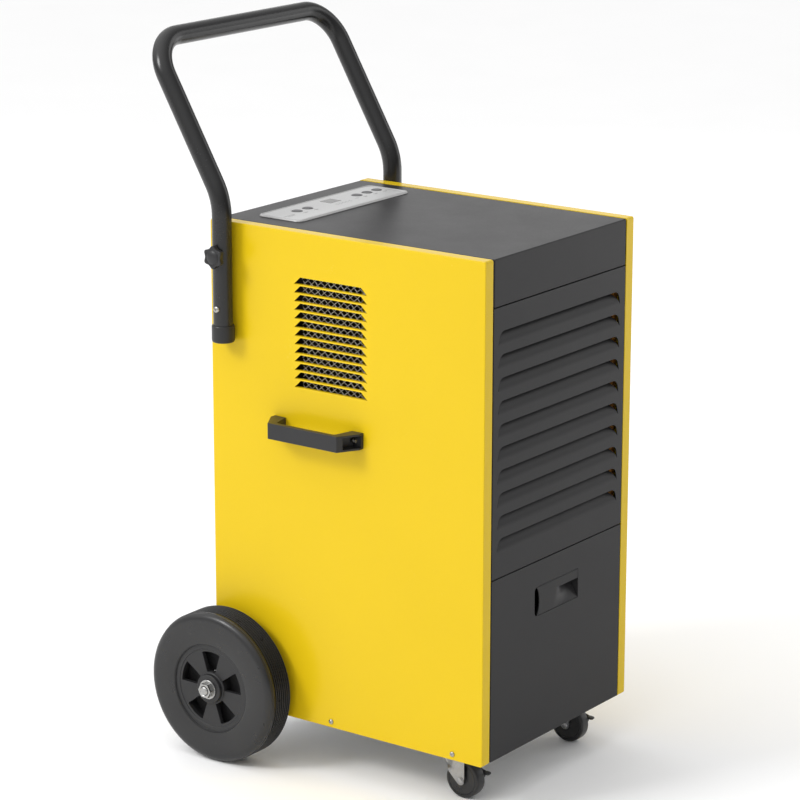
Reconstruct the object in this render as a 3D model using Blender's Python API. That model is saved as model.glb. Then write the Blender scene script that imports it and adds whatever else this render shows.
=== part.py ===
"""Commercial dehumidifier on two rear wheels and two braked swivel casters.

Frame: metres, +Z up, the front (air intake and water tank) faces -Y, and the
left side panel faces -X. The origin is on the floor under the middle of the
object's box. Dimensions below are written in millimetres.
"""

import math

import bmesh
import bpy
from mathutils import Matrix, Vector

# ---------------------------------------------------------------- dimensions
MM = 0.001
GAP = 0.3                      # clearance between touching pieces

HALF_W = 167.5                 # half the width over the side panels
FRONT_Y = -261.2               # front edge of the side panels
REAR_Y = 168.0                 # rear edge of the side panels
BASE_Z = 66.0                  # lower edge of the side panels
TOP_Z = 717.0                  # upper edge of the side panels
FLANGE = 16.5                  # folded edge of a side panel
SHEET = 1.2                    # side panel sheet thickness
BODY_X = 150.5                 # half width of the dark front, top and rear

SEAM_TOP_Z = 655.8             # joint between the top cover and the louvres
SEAM_TANK_Z = 307.4            # joint between the louvres and the tank front

LOUVRES = 10
LOUVRE_TOP_Z = 624.4
LOUVRE_PITCH = 29.5
LOUVRE_DROP = 18.3

VENTS = 13
VENT_TOP_Z = 659.3
VENT_PITCH = 11.22
VENT_HEIGHT = 9.3
VENT_Y = -25.2
VENT_HALF_TOP = 48.0
VENT_HALF_LOW = 57.7

WHEEL_Y, WHEEL_Z, WHEEL_R = 134.5, 101.6, 101.6
WHEEL_IN, WHEEL_OUT = 179.0, 223.0
BOSS_X = 226.0
AXLE_R = 8.0
WINDOW_R0, WINDOW_R1, WINDOW_HALF = 22.0, 49.5, 17.2

CASTER_X, CASTER_Y, CASTER_R, CASTER_HALF = 121.8, -204.9, 25.0, 8.5
KINGPIN_Y = -182.9

TUBE_R, TUBE_WALL, TUBE_X = 12.7, 1.5, 182.9
LEG_Y, LEG_BOTTOM_Z = 136.0, 566.3
BEND_Z, BAR_Y, BAR_Z = 748.7, 248.6, 941.7
LOWER_BEND_R, UPPER_BEND_R = 80.0, 50.0
PIVOT_Z, KNOB_Z = 607.0, 676.0

GRIP_Z0, GRIP_Z1 = 451.5, 472.0
GRIP_FOOT_Y = (-76.5, 62.5)
GRIP_BAR_Y = (-60.0, 46.0)
GRIP_OUT = 35.7

BUTTON_Y, BUTTON_R = 102.2, 7.0
BUTTON_XS = (-71.0, -48.6, 57.4, 79.9, 101.2)
BEZEL = (-118.5, 121.5, 60.5, 131.0)
BEZEL_Z0, BEZEL_Z1 = 716.8, 720.0
DISPLAY = (-6.0, 18.0, 97.0, 116.0)

FAN_Z, FAN_R = 480.0, 124.0

for stale in list(bpy.data.objects):
    bpy.data.objects.remove(stale, do_unlink=True)


# ------------------------------------------------------------------- helpers
def material(name, color, roughness, metallic=0.0):
    mat = bpy.data.materials.new(name)
    mat.use_nodes = True
    shader = mat.node_tree.nodes["Principled BSDF"]
    shader.inputs["Base Color"].default_value = (*color, 1.0)
    shader.inputs["Roughness"].default_value = roughness
    shader.inputs["Metallic"].default_value = metallic
    mat.diffuse_color = (*color, 1.0)
    return mat


YELLOW = material("yellow_powder_coat", (0.90, 0.60, 0.04), 0.42)
GREY = material("dark_grey_powder_coat", (0.055, 0.055, 0.057), 0.48)
BLACK = material("black_plastic", (0.022, 0.022, 0.024), 0.5)
RUBBER = material("tyre_rubber", (0.060, 0.060, 0.062), 0.6)
ZINC = material("zinc_plate", (0.55, 0.55, 0.54), 0.32, 1.0)
SILVER = material("silver_panel", (0.56, 0.56, 0.55), 0.4)
SCREEN = material("display_lens", (0.03, 0.035, 0.04), 0.15)
WIRE = material("wire_mesh", (0.42, 0.42, 0.40), 0.4, 1.0)
GALV = material("galvanised_sheet", (0.50, 0.51, 0.52), 0.45, 1.0)
COPPER = material("copper_tube", (0.72, 0.33, 0.18), 0.3, 1.0)
FIN = material("aluminium_fins", (0.72, 0.73, 0.74), 0.4, 1.0)
STEEL_BLACK = material("black_enamel", (0.02, 0.02, 0.02), 0.35)
FILTER = material("filter_foam", (0.10, 0.10, 0.11), 0.9)
BOARD = material("circuit_board", (0.02, 0.16, 0.07), 0.5)
CLEAR = material("tank_plastic", (0.70, 0.72, 0.73), 0.3)
FLOAT = material("float_foam", (0.85, 0.85, 0.82), 0.7)


def finish(name, bm, mat, origin=(0.0, 0.0, 0.0), sharp=35.0):
    """Writes a bmesh in millimetres as an object whose origin is on its axis."""
    bmesh.ops.recalc_face_normals(bm, faces=bm.faces)
    off = Vector(origin)
    for v in bm.verts:
        v.co = (v.co - off) * MM
    me = bpy.data.meshes.new(name)
    bm.to_mesh(me)
    bm.free()
    me.materials.append(mat)
    me.shade_smooth()
    me.set_sharp_from_angle(angle=math.radians(sharp))
    ob = bpy.data.objects.new(name, me)
    ob.location = off * MM
    bpy.context.scene.collection.objects.link(ob)
    return ob


def box(bm, x0, x1, y0, y1, z0, z1):
    xs, ys, zs = sorted((x0, x1)), sorted((y0, y1)), sorted((z0, z1))
    v = [bm.verts.new((x, y, z)) for x in xs for y in ys for z in zs]
    for f in ((0, 1, 3, 2), (4, 6, 7, 5), (0, 4, 5, 1), (2, 3, 7, 6), (0, 2, 6, 4), (1, 5, 7, 3)):
        bm.faces.new([v[i] for i in f])


def open_box(bm, x0, x1, y0, y1, z0, z1, wall):
    """A box open at the top, with walls and a floor of one thickness."""
    def ring(a0, a1, b0, b1, z):
        return [bm.verts.new(p) for p in ((a0, b0, z), (a1, b0, z), (a1, b1, z), (a0, b1, z))]
    lo = ring(x0, x1, y0, y1, z0)
    ho = ring(x0, x1, y0, y1, z1)
    hi = ring(x0 + wall, x1 - wall, y0 + wall, y1 - wall, z1)
    li = ring(x0 + wall, x1 - wall, y0 + wall, y1 - wall, z0 + wall)
    bm.faces.new(lo)
    for a, b in ((lo, ho), (ho, hi), (hi, li)):
        for i in range(4):
            j = (i + 1) % 4
            bm.faces.new((a[i], a[j], b[j], b[i]))
    bm.faces.new(li)


def prism(bm, outline, axis, a0, a1):
    """Extrudes a closed outline along one axis. The outline's two coordinates
    are the other two axes in X, Y, Z order."""
    def place(p, a):
        if axis == "X":
            return (a, p[0], p[1])
        if axis == "Y":
            return (p[0], a, p[1])
        return (p[0], p[1], a)
    low = [bm.verts.new(place(p, a0)) for p in outline]
    high = [bm.verts.new(place(p, a1)) for p in outline]
    bm.faces.new(low)
    bm.faces.new(high)
    n = len(outline)
    for i in range(n):
        j = (i + 1) % n
        bm.faces.new((low[i], low[j], high[j], high[i]))


def turn(bm, profile, axis, centre, seg, closed=True):
    """Revolves (radius, height) points. A radius may be a function of the
    angle, and a radius of 0 is a point on the axis."""
    def place(r, a, t):
        c, s = r * math.cos(t), r * math.sin(t)
        if axis == "X":
            return (a, centre[0] + c, centre[1] + s)
        if axis == "Y":
            return (centre[0] + c, a, centre[1] + s)
        return (centre[0] + c, centre[1] + s, a)
    rings = []
    for r, a in profile:
        if not callable(r) and r == 0:
            rings.append([bm.verts.new(place(0.0, a, 0.0))])
            continue
        ring = []
        for k in range(seg):
            t = 2 * math.pi * k / seg
            ring.append(bm.verts.new(place(r(t) if callable(r) else r, a, t)))
        rings.append(ring)
    pairs = list(zip(rings, rings[1:]))
    if closed:
        pairs.append((rings[-1], rings[0]))
    for p, q in pairs:
        for k in range(seg):
            m = (k + 1) % seg
            if len(p) == 1 and len(q) == 1:
                continue
            if len(p) == 1:
                bm.faces.new((p[0], q[k], q[m]))
            elif len(q) == 1:
                bm.faces.new((p[k], p[m], q[0]))
            else:
                bm.faces.new((p[k], p[m], q[m], q[k]))


def rod(bm, axis, centre, r, a0, a1, seg=16):
    turn(bm, [(0, a0), (r, a0), (r, a1), (0, a1)], axis, centre, seg, closed=False)


def bend(points, radius, steps):
    """Replaces each inner corner of a polyline with an arc of that radius, or of its own."""
    pts = [Vector(p) for p in points]
    radii = radius if isinstance(radius, (list, tuple)) else [radius] * (len(pts) - 2)
    out = [pts[0]]
    for a, b, c, radius in zip(pts, pts[1:], pts[2:], radii):
        u, w = (a - b).normalized(), (c - b).normalized()
        half = u.angle(w) / 2
        reach = radius / math.tan(half)
        start, stop = b + u * reach, b + w * reach
        mid = b + (u + w).normalized() * (radius / math.sin(half))
        e0, e1 = start - mid, stop - mid
        total = e0.angle(e1)
        normal = e0.cross(e1).normalized()
        for i in range(steps + 1):
            out.append(mid + Matrix.Rotation(total * i / steps, 3, normal) @ e0)
    out.append(pts[-1])
    return out


def sweep(bm, path, radius, seg, inner=0.0):
    """A round bar along a path, or a tube when inner is over 0."""
    tangents = []
    for i, p in enumerate(path):
        a = path[max(i - 1, 0)]
        b = path[min(i + 1, len(path) - 1)]
        tangents.append((b - a).normalized())
    side = tangents[0].orthogonal().normalized()
    frames = []
    for i, t in enumerate(tangents):
        if i:
            turn_by = tangents[i - 1].rotation_difference(t)
            side = (turn_by @ side)
            side = (side - t * side.dot(t)).normalized()
        frames.append((side.copy(), t.cross(side)))
    def shell(r):
        rings = []
        for p, (s, n) in zip(path, frames):
            rings.append([bm.verts.new(p + s * (r * math.cos(2 * math.pi * k / seg))
                                       + n * (r * math.sin(2 * math.pi * k / seg))) for k in range(seg)])
        for a, b in zip(rings, rings[1:]):
            for k in range(seg):
                m = (k + 1) % seg
                bm.faces.new((a[k], a[m], b[m], b[k]))
        return rings
    outer = shell(radius)
    if inner <= 0:
        bm.faces.new(outer[0])
        bm.faces.new(outer[-1])
        return
    core = shell(inner)
    for o, i_ in ((outer[0], core[0]), (outer[-1], core[-1])):
        for k in range(seg):
            m = (k + 1) % seg
            bm.faces.new((o[k], o[m], i_[m], i_[k]))


def boolean(target, name, build, operation="DIFFERENCE"):
    """Adds a Boolean with a hidden tool object made by build(bm)."""
    bm = bmesh.new()
    build(bm)
    tool = finish(name, bm, BLACK)
    tool.hide_render = True
    tool.display_type = "WIRE"
    mod = target.modifiers.new(name, "BOOLEAN")
    mod.operation = operation
    mod.solver = "EXACT"
    mod.object = tool
    return mod


def solid(name, mat, build, origin=(0.0, 0.0, 0.0), sharp=35.0):
    bm = bmesh.new()
    build(bm)
    return finish(name, bm, mat, origin, sharp)


SIDES = (("left", -1), ("right", 1))


# ---------------------------------------------------------------- the cabinet
def build_side_panel(side, s):
    def shell(bm):
        box(bm, s * HALF_W, s * (HALF_W - FLANGE), FRONT_Y, REAR_Y, BASE_Z, TOP_Z)
    ob = solid(f"side_panel_{side}", YELLOW, shell)

    def hollow(bm):
        box(bm, s * (HALF_W - SHEET), s * (HALF_W - FLANGE - 3), FRONT_Y + SHEET, REAR_Y - SHEET,
            BASE_Z + SHEET, TOP_Z - SHEET)
    boolean(ob, f"tool_panel_hollow_{side}", hollow)

    def slots(bm):
        for i in range(VENTS):
            top = VENT_TOP_Z - VENT_PITCH * i
            low = top - VENT_HEIGHT
            prism(bm, [(VENT_Y - VENT_HALF_TOP, top), (VENT_Y + VENT_HALF_TOP, top),
                       (VENT_Y + VENT_HALF_LOW, low), (VENT_Y - VENT_HALF_LOW, low)],
                  "X", s * (HALF_W - 5), s * (HALF_W + 5))
        for y in SCREW_YS:
            rod(bm, "X", (y, SCREW_Z), 2.4, s * (HALF_W - 5), s * (HALF_W + 5), 12)
        rod(bm, "X", (WHEEL_Y, WHEEL_Z), AXLE_R + 0.4, s * (HALF_W - 5), s * (HALF_W + 5), 20)
        rod(bm, "X", (LEG_Y, PIVOT_Z), 2.9, s * (HALF_W - 5), s * (HALF_W + 5), 12)
    boolean(ob, f"tool_panel_slots_{side}", slots)
    return ob


SCREW_YS = (-216.0, -23.7)
SCREW_Z = 74.5

for side, s in SIDES:
    build_side_panel(side, s)

    for label, y in zip(("front", "rear"), SCREW_YS):
        def screw(bm, s=s, y=y):
            turn(bm, [(0, s * 170.0), (1.9, s * 169.7), (3.2, s * 168.7), (3.5, s * 167.8),
                      (2.0, s * 167.8), (2.0, s * 160.0), (0, s * 160.0)], "X", (y, SCREW_Z), 12, closed=False)
        solid(f"panel_screw_{side}_{label}", ZINC, screw)


def base_floor(bm):
    box(bm, -165.9, 165.9, -256.9, 164.1, 67.5, 69.5)


base = solid("base_pan", GALV, base_floor)


def base_walls(bm):
    for s in (-1, 1):
        box(bm, s * 164.4, s * 165.9, -256.9, 164.1, 68.2, 122.0)


def base_back(bm):
    box(bm, -165.2, 165.2, 162.6, 164.1, 68.2, 110.0)


def base_holes(bm):
    for s in (-1, 1):
        for y in SCREW_YS:
            rod(bm, "X", (y, SCREW_Z), 2.4, s * 161, s * 168, 12)
        rod(bm, "X", (WHEEL_Y, WHEEL_Z), AXLE_R + 0.4, s * 161, s * 168, 20)


boolean(base, "tool_base_walls", base_walls, "UNION")
boolean(base, "tool_base_back", base_back, "UNION")
boolean(base, "tool_base_holes", base_holes)


def cover_outline(bm):
    outer = [(-260.9, 656.1), (-260.9, 716.5), (165.9, 716.5), (165.9, 656.1),
             (164.4, 656.1), (164.4, 715.0), (-259.4, 715.0), (-259.4, 656.1)]
    prism(bm, outer, "X", -BODY_X, BODY_X)


cover = solid("top_cover", GREY, cover_outline)


def cover_lips(bm):
    for s in (-1, 1):
        box(bm, s * (BODY_X - 1.2), s * BODY_X, -259.9, 164.9, 698.0, 715.8)


def cover_cut(bm):
    box(bm, -117.0, 116.0, 64.0, 122.0, 712.0, 719.0)


boolean(cover, "tool_cover_lips", cover_lips, "UNION")
boolean(cover, "tool_cover_cut", cover_cut)


def louvre_plate(bm):
    box(bm, -BODY_X, BODY_X, -260.9, -258.9, SEAM_TANK_Z + GAP, SEAM_TOP_Z - GAP)


louvre_panel = solid("louvre_panel", GREY, louvre_plate)


def louvre_openings(bm):
    for i in range(LOUVRES):
        z = LOUVRE_TOP_Z - LOUVRE_PITCH * i
        low = z - LOUVRE_DROP
        prism(bm, [(-128, z), (128, z), (136, z - 9), (138, low), (-138, low), (-136, z - 9)],
              "Y", -262.0, -258.0)


def louvre_blades(bm):
    for i in range(LOUVRES):
        z = LOUVRE_TOP_Z - LOUVRE_PITCH * i
        low = z - LOUVRE_DROP
        prism(bm, [(-260.7, low - 0.5), (-246.5, low + 12.6), (-245.4, low + 11.4), (-259.4, low - 1.9)],
              "X", -139.3, 139.3)


boolean(louvre_panel, "tool_louvre_openings", louvre_openings)
boolean(louvre_panel, "tool_louvre_blades", louvre_blades, "UNION")


def rear_plate(bm):
    box(bm, -BODY_X, BODY_X, 164.4, 165.9, 69.8, SEAM_TOP_Z - GAP)


GLAND_X, GLAND_Z = 105.0, 205.0
rear = solid("rear_panel", GREY, rear_plate)
boolean(rear, "tool_rear_hole", lambda bm: rod(bm, "Y", (GLAND_X, GLAND_Z), 9.4, 160.0, 170.0, 20))


def gland(bm):
    turn(bm, [(5.0, 150.0), (9.0, 150.0), (9.0, 166.3), (14.0, 166.3), (14.0, 171.5),
              (10.5, 172.5), (8.0, 184.0), (5.0, 184.0)], "Y", (GLAND_X, GLAND_Z), 20)


solid("power_inlet_gland", BLACK, gland)


# ------------------------------------------------------- air and water circuit
def air_filter(bm):
    box(bm, -146, 146, -243.0, -237.0, 318.0, 650.0)


def finned(bm, x0, x1, y0, y1, fins, thick=2.4, spine=2.0):
    """A coil block: upright fins on a thin back plate."""
    pitch = (x1 - x0 - thick) / (fins - 1)
    outline = [(x1, y1), (x0, y1)]
    for k in range(fins):
        a = x0 + pitch * k
        if k:
            outline.append((a, y1 - spine))
        outline += [(a, y0), (a + thick, y0)]
        if k < fins - 1:
            outline.append((a + thick, y1 - spine))
    prism(bm, outline, "Z", 318.0, 640.0)


def evaporator(bm):
    finned(bm, -141, 141, -232.0, -192.0, 20)


def condenser(bm):
    finned(bm, -141, 127, -187.0, -142.0, 20)


solid("air_filter", FILTER, air_filter)
solid("evaporator_coil", FIN, evaporator)
solid("condenser_coil", FIN, condenser)


def shroud_plate(bm):
    box(bm, -148, 148, -130.0, -127.0, 293.6, 652.0)


shroud = solid("fan_shroud", GALV, shroud_plate)
boolean(shroud, "tool_shroud_ring",
        lambda bm: turn(bm, [(130.5, -129.2), (134.5, -129.2), (134.5, -72.0), (130.5, -72.0)],
                        "Y", (0, FAN_Z), 36), "UNION")
boolean(shroud, "tool_shroud_mouth",
        lambda bm: turn(bm, [(0, -133.0), (132.0, -133.0), (132.0, -66.0), (0, -66.0)],
                        "Y", (0, FAN_Z), 36, closed=False))


def spider(bm):
    for k in range(4):
        t = math.radians(45 + 90 * k)
        u, n = Vector((math.cos(t), 0, math.sin(t))), Vector((-math.sin(t), 0, math.cos(t)))
        c = Vector((0, 0, FAN_Z))
        ring = []
        for y in (-78.0, -73.0):
            ring.append([bm.verts.new(c + u * a + n * b + Vector((0, y, 0)))
                         for a, b in ((18, -5), (133.0, -5), (133.0, 5), (18, 5))])
        lo, hi = ring
        bm.faces.new(lo)
        bm.faces.new(hi)
        for i in range(4):
            j = (i + 1) % 4
            bm.faces.new((lo[i], lo[j], hi[j], hi[i]))


boolean(shroud, "tool_shroud_spider", spider, "UNION")
boolean(shroud, "tool_shroud_hub",
        lambda bm: turn(bm, [(9.0, -78.6), (30.0, -78.6), (30.0, -72.4), (9.0, -72.4)], "Y", (0, FAN_Z), 20), "UNION")
boolean(shroud, "tool_shroud_bore", lambda bm: rod(bm, "Y", (0, FAN_Z), 9.0, -90.0, -60.0, 20))
boolean(shroud, "tool_shroud_pipes",
        lambda bm: [rod(bm, "Y", (x, z), 6.5, -134.0, -122.0, 12) for x, z in ((-137.0, 330.0), (136.0, 345.0))])

solid("fan_motor", STEEL_BLACK,
      lambda bm: turn(bm, [(0, -118.0), (4.0, -118.0), (4.0, -72.0), (38.0, -72.0), (38.0, -30.0), (34.0, -24.0), (0, -24.0)],
                      "Y", (0, FAN_Z), 24, closed=False))

rotor = solid("fan_rotor", BLACK,
              lambda bm: turn(bm, [(4.4, -122.0), (26.0, -122.0), (28.0, -119.0), (28.0, -93.0), (4.4, -93.0)],
                              "Y", (0, FAN_Z), 24), origin=(0, -107.5, FAN_Z))


def blades(bm):
    for k in range(5):
        t = 2 * math.pi * k / 5 + math.radians(90)
        u = Vector((math.cos(t), 0, math.sin(t)))
        n = Vector((-math.sin(t), 0, math.cos(t)))
        pitch = math.radians(32)
        chord = n * math.cos(pitch) + Vector((0, 1, 0)) * math.sin(pitch)
        thick = u.cross(chord).normalized()
        c = Vector((0, -107.5, FAN_Z))
        def corner(r, w, h):
            return bm.verts.new(c + u * r + chord * w + thick * h)
        root = [corner(24.0, a, b) for a, b in ((-12, -1.2), (12, -1.2), (12, 1.2), (-12, 1.2))]
        tip = [corner(FAN_R - 2, a, b) for a, b in ((-26, -0.9), (26, -0.9), (26, 0.9), (-26, 0.9))]
        bm.faces.new(root)
        bm.faces.new(tip)
        for i in range(4):
            j = (i + 1) % 4
            bm.faces.new((root[i], root[j], tip[j], tip[i]))


boolean(rotor, "tool_rotor_blades", blades, "UNION")


def tray(bm):
    open_box(bm, -148, 148, -246.0, -133.0, 294.2, 312.0, 1.5)


drip = solid("drip_tray", BLACK, tray)
boolean(drip, "tool_tray_hole", lambda bm: rod(bm, "Z", (0, -150), 7.4, 290.0, 300.0, 16))
solid("drain_spout", BLACK,
      lambda bm: turn(bm, [(5.0, 291.0), (7.0, 291.0), (7.0, 296.0), (11.0, 296.0), (11.0, 297.6), (5.0, 297.6)],
                      "Z", (0, -150), 16))


def partition(bm):
    prism(bm, [(-250.0, 292.4), (-250.0, 293.3), (9.2, 293.3), (9.2, 69.8), (8.0, 69.8), (8.0, 292.4)],
          "X", -148, 148)


part_wall = solid("tank_bay_partition", GALV, partition)
boolean(part_wall, "tool_partition_hole", lambda bm: rod(bm, "Z", (0, -150), 9.0, 288.0, 297.0, 16))

COMP_X, COMP_Y = -32.0, 66.0
comp = solid("compressor", STEEL_BLACK,
             lambda bm: turn(bm, [(0, 84.0), (38.0, 84.0), (50.0, 94.0), (50.0, 226.0), (44.0, 240.0), (24.0, 249.0), (0, 251.0)],
                             "Z", (COMP_X, COMP_Y), 24, closed=False))
boolean(comp, "tool_comp_foot",
        lambda bm: prism(bm, [(COMP_X - 52, COMP_Y - 46), (COMP_X + 52, COMP_Y - 46), (COMP_X + 52, COMP_Y + 46),
                              (COMP_X - 52, COMP_Y + 46)], "Z", 69.9, 86.0), "UNION")
boolean(comp, "tool_comp_accumulator",
        lambda bm: turn(bm, [(0, 118.0), (12.0, 120.0), (18.0, 130.0), (18.0, 212.0), (12.0, 224.0), (0, 226.0)],
                        "Z", (COMP_X + 76, COMP_Y), 16, closed=False), "UNION")
boolean(comp, "tool_comp_bracket",
        lambda bm: box(bm, COMP_X + 44, COMP_X + 64, COMP_Y - 8, COMP_Y + 8, 160.0, 180.0), "UNION")


def pipe(points, bm, r=4.8):
    sweep(bm, bend(points, 16.0, 3), r, 8)


solid("discharge_pipe", COPPER,
      lambda bm: pipe([(COMP_X, COMP_Y, 251.4), (COMP_X, COMP_Y, 330.0), (-137.0, COMP_Y, 330.0),
                       (-137.0, -141.5, 330.0)], bm))
solid("suction_pipe", COPPER,
      lambda bm: pipe([(COMP_X + 76, COMP_Y, 226.5), (COMP_X + 76, COMP_Y, 345.0), (136.0, COMP_Y, 345.0),
                       (136.0, -191.5, 345.0)], bm))


# --------------------------------------------------------------- control panel
def rounded(x0, x1, y0, y1, r, steps=4):
    pts = []
    for cx, cy, start in ((x1 - r, y1 - r, 0), (x0 + r, y1 - r, 90), (x0 + r, y0 + r, 180), (x1 - r, y0 + r, 270)):
        for k in range(steps + 1):
            t = math.radians(start + 90 * k / steps)
            pts.append((cx + r * math.cos(t), cy + r * math.sin(t)))
    return pts


bezel = solid("control_bezel", SILVER,
              lambda bm: prism(bm, rounded(*BEZEL, 9.5), "Z", BEZEL_Z0, BEZEL_Z1))


def bezel_holes(bm):
    for x in BUTTON_XS:
        rod(bm, "Z", (x, BUTTON_Y), BUTTON_R + 0.5, 700.0, 730.0, 16)
    box(bm, DISPLAY[0] - 0.4, DISPLAY[1] + 0.4, DISPLAY[2] - 0.4, DISPLAY[3] + 0.4, 700.0, 730.0)


boolean(bezel, "tool_bezel_holes", bezel_holes)
solid("display_window", SCREEN, lambda bm: box(bm, *DISPLAY, 716.0, 719.4))
solid("control_board", BOARD, lambda bm: box(bm, -112, 111, 66, 120, 699.0, 700.6))
for i, x in enumerate(BUTTON_XS):
    solid(f"button_{i + 1}", GREY,
          lambda bm, x=x: turn(bm, [(0, 703.0), (4.0, 703.0), (4.0, 708.0), (BUTTON_R, 708.0), (BUTTON_R, 720.6),
                                    (BUTTON_R - 1.0, 721.2), (0, 721.2)], "Z", (x, BUTTON_Y), 14, closed=False),
          origin=(x, BUTTON_Y, 712.0))


# ----------------------------------------------------------------- side fittings
def grip_outline(s):
    """The bow of the side grip, seen from above."""
    p = HALF_W + GAP
    o = HALF_W + GRIP_OUT
    f0, f1 = GRIP_FOOT_Y
    b0, b1 = GRIP_BAR_Y
    pts = [(p, f0), (o - 6, b0 - 2.0), (o, b0 + 4.5), (o, b1 - 4.5), (o - 6, b1 + 2.0), (p, f1),
           (p, f1 - 18), (o - 7.5, b1 - 9.0), (o - 7.5, b0 + 9.0), (p, f0 + 18)]
    return [(s * a, b) for a, b in pts]


def pocket_outline(s, end):
    """The hollow in the slanted end of a grip leg."""
    f, b, d = (GRIP_FOOT_Y[0], GRIP_BAR_Y[0], 1) if end == 0 else (GRIP_FOOT_Y[1], GRIP_BAR_Y[1], -1)
    p, o = HALF_W + GAP, HALF_W + GRIP_OUT
    return [(s * (p + 4), f - d * 3.0), (s * (p + 5), f + d * 13.0), (s * (o - 14), b + d * 5.5), (s * (o - 9), b - d * 7.0)]


for side, s in SIDES:
    grip = solid(f"side_grip_{side}", BLACK,
                 lambda bm, s=s: prism(bm, grip_outline(s), "Z", GRIP_Z0, GRIP_Z1))
    boolean(grip, f"tool_grip_pockets_{side}",
            lambda bm, s=s: [prism(bm, pocket_outline(s, e), "Z", GRIP_Z0 + 2.5, GRIP_Z1 - 2.5) for e in (0, 1)])
    solid(f"vent_mesh_{side}", WIRE,
          lambda bm, s=s: box(bm, s * 160.0, s * 161.0, -93.0, 43.0, 506.0, 667.0))


# ------------------------------------------------------------------- the handle
def handle_path():
    x, y = TUBE_X, LEG_Y
    return bend([(-x, y, LEG_BOTTOM_Z), (-x, y, BEND_Z), (-x, BAR_Y, BAR_Z), (x, BAR_Y, BAR_Z),
                 (x, y, BEND_Z), (x, y, LEG_BOTTOM_Z)],
                (LOWER_BEND_R, UPPER_BEND_R, UPPER_BEND_R, LOWER_BEND_R), 5)


handle = solid("handle_tube", GREY,
               lambda bm: sweep(bm, handle_path(), TUBE_R, 14, TUBE_R - TUBE_WALL),
               origin=(0, LEG_Y, PIVOT_Z))


def handle_holes(bm):
    for s in (-1, 1):
        rod(bm, "X", (LEG_Y, PIVOT_Z), 2.9, s * 160, s * 200, 12)
        rod(bm, "X", (LEG_Y, KNOB_Z), 3.4, s * 160, s * 200, 12)


boolean(handle, "tool_handle_holes", handle_holes)

for side, s in SIDES:
    solid(f"handle_end_cap_{side}", BLACK,
          lambda bm, s=s: turn(bm, [(0, 563.0), (14.2, 563.0), (14.95, 564.2), (14.95, 587.0), (13.0, 587.0),
                                    (13.0, 566.0), (0, 566.0)], "Z", (s * TUBE_X, LEG_Y), 24, closed=False),
          origin=(s * TUBE_X, LEG_Y, PIVOT_Z))
    solid(f"pivot_screw_{side}", ZINC,
          lambda bm, s=s: turn(bm, [(0, s * 198.4), (2.2, s * 198.0), (4.0, s * 196.9), (4.3, s * 195.9),
                                    (2.5, s * 195.9), (2.5, s * 160.0), (0, s * 160.0)],
                               "X", (LEG_Y, PIVOT_Z), 12, closed=False))

    def lobes(t):
        return 13.4 + 2.4 * math.cos(6 * (t - math.pi / 2))
    solid(f"star_knob_{side}", BLACK,
          lambda bm, s=s: turn(bm, [(0, s * 168.0), (3.0, s * 168.0), (3.0, s * 196.0), (lobes, s * 196.2),
                                    (lobes, s * 202.4), (lambda t: lobes(t) - 1.2, s * 203.2), (8.5, s * 203.2),
                                    (0, s * 205.0)], "X", (LEG_Y, KNOB_Z), 36, closed=False),
          origin=(s * 200.0, LEG_Y, KNOB_Z))


# --------------------------------------------------------------- wheels and axle
solid("wheel_axle", ZINC,
      lambda bm: turn(bm, [(0, -236.5), (4.6, -236.5), (6.0, -235.3), (6.0, -225.9), (AXLE_R, -225.5), (AXLE_R, 225.5),
                           (6.0, 225.9), (6.0, 235.3), (4.6, 236.5), (0, 236.5)], "X", (WHEEL_Y, WHEEL_Z), 20, closed=False))

for side, s in SIDES:
    tyre = [(60.3, 181.0), (60.3, 223.0), (91.0, 223.0), (96.2, 221.8), (99.8, 218.4), (101.6, 212.5),
            (101.6, 187.0), (99.0, 181.5), (94.0, 179.0), (64.0, 179.0)]
    solid(f"tyre_{side}", RUBBER,
          lambda bm, s=s: turn(bm, [(r, s * a) for r, a in tyre], "X", (WHEEL_Y, WHEEL_Z), 32),
          origin=(s * 201.0, WHEEL_Y, WHEEL_Z))
    hub_profile = [(8.4, 183.0), (19.5, 183.0), (19.5, 214.0), (53.0, 214.0), (53.0, 183.0), (60.0, 183.0),
                   (60.0, 222.6), (56.5, 218.8), (52.0, 220.8), (19.5, 220.8), (19.5, BOSS_X), (8.4, BOSS_X)]
    hub = solid(f"wheel_hub_{side}", BLACK,
                lambda bm, s=s: turn(bm, [(r, s * a) for r, a in hub_profile], "X", (WHEEL_Y, WHEEL_Z), 32),
                origin=(s * 201.0, WHEEL_Y, WHEEL_Z))

    def windows(bm, s=s):
        for k in range(5):
            mid = 90 + 72 * k
            outline = []
            for a in (-1, -0.5, 0, 0.5, 1):
                t = math.radians(mid + WINDOW_HALF * a)
                outline.append((WHEEL_Y + WINDOW_R1 * math.cos(t), WHEEL_Z + WINDOW_R1 * math.sin(t)))
            for a in (1, 0, -1):
                t = math.radians(mid + WINDOW_HALF * a)
                outline.append((WHEEL_Y + WINDOW_R0 * math.cos(t), WHEEL_Z + WINDOW_R0 * math.sin(t)))
            prism(bm, outline, "X", s * 210.0, s * 225.0)
    boolean(hub, f"tool_hub_windows_{side}", windows)

    def hexagon(t):
        return 9.0 / math.cos((t % (math.pi / 3)) - math.pi / 6)
    solid(f"axle_nut_{side}", ZINC,
          lambda bm, s=s: turn(bm, [(6.4, s * 226.4), (13.0, s * 226.4), (13.0, s * 228.0), (hexagon, s * 228.0),
                                    (hexagon, s * 234.5), (6.4, s * 234.5)], "X", (WHEEL_Y, WHEEL_Z), 24))


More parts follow.
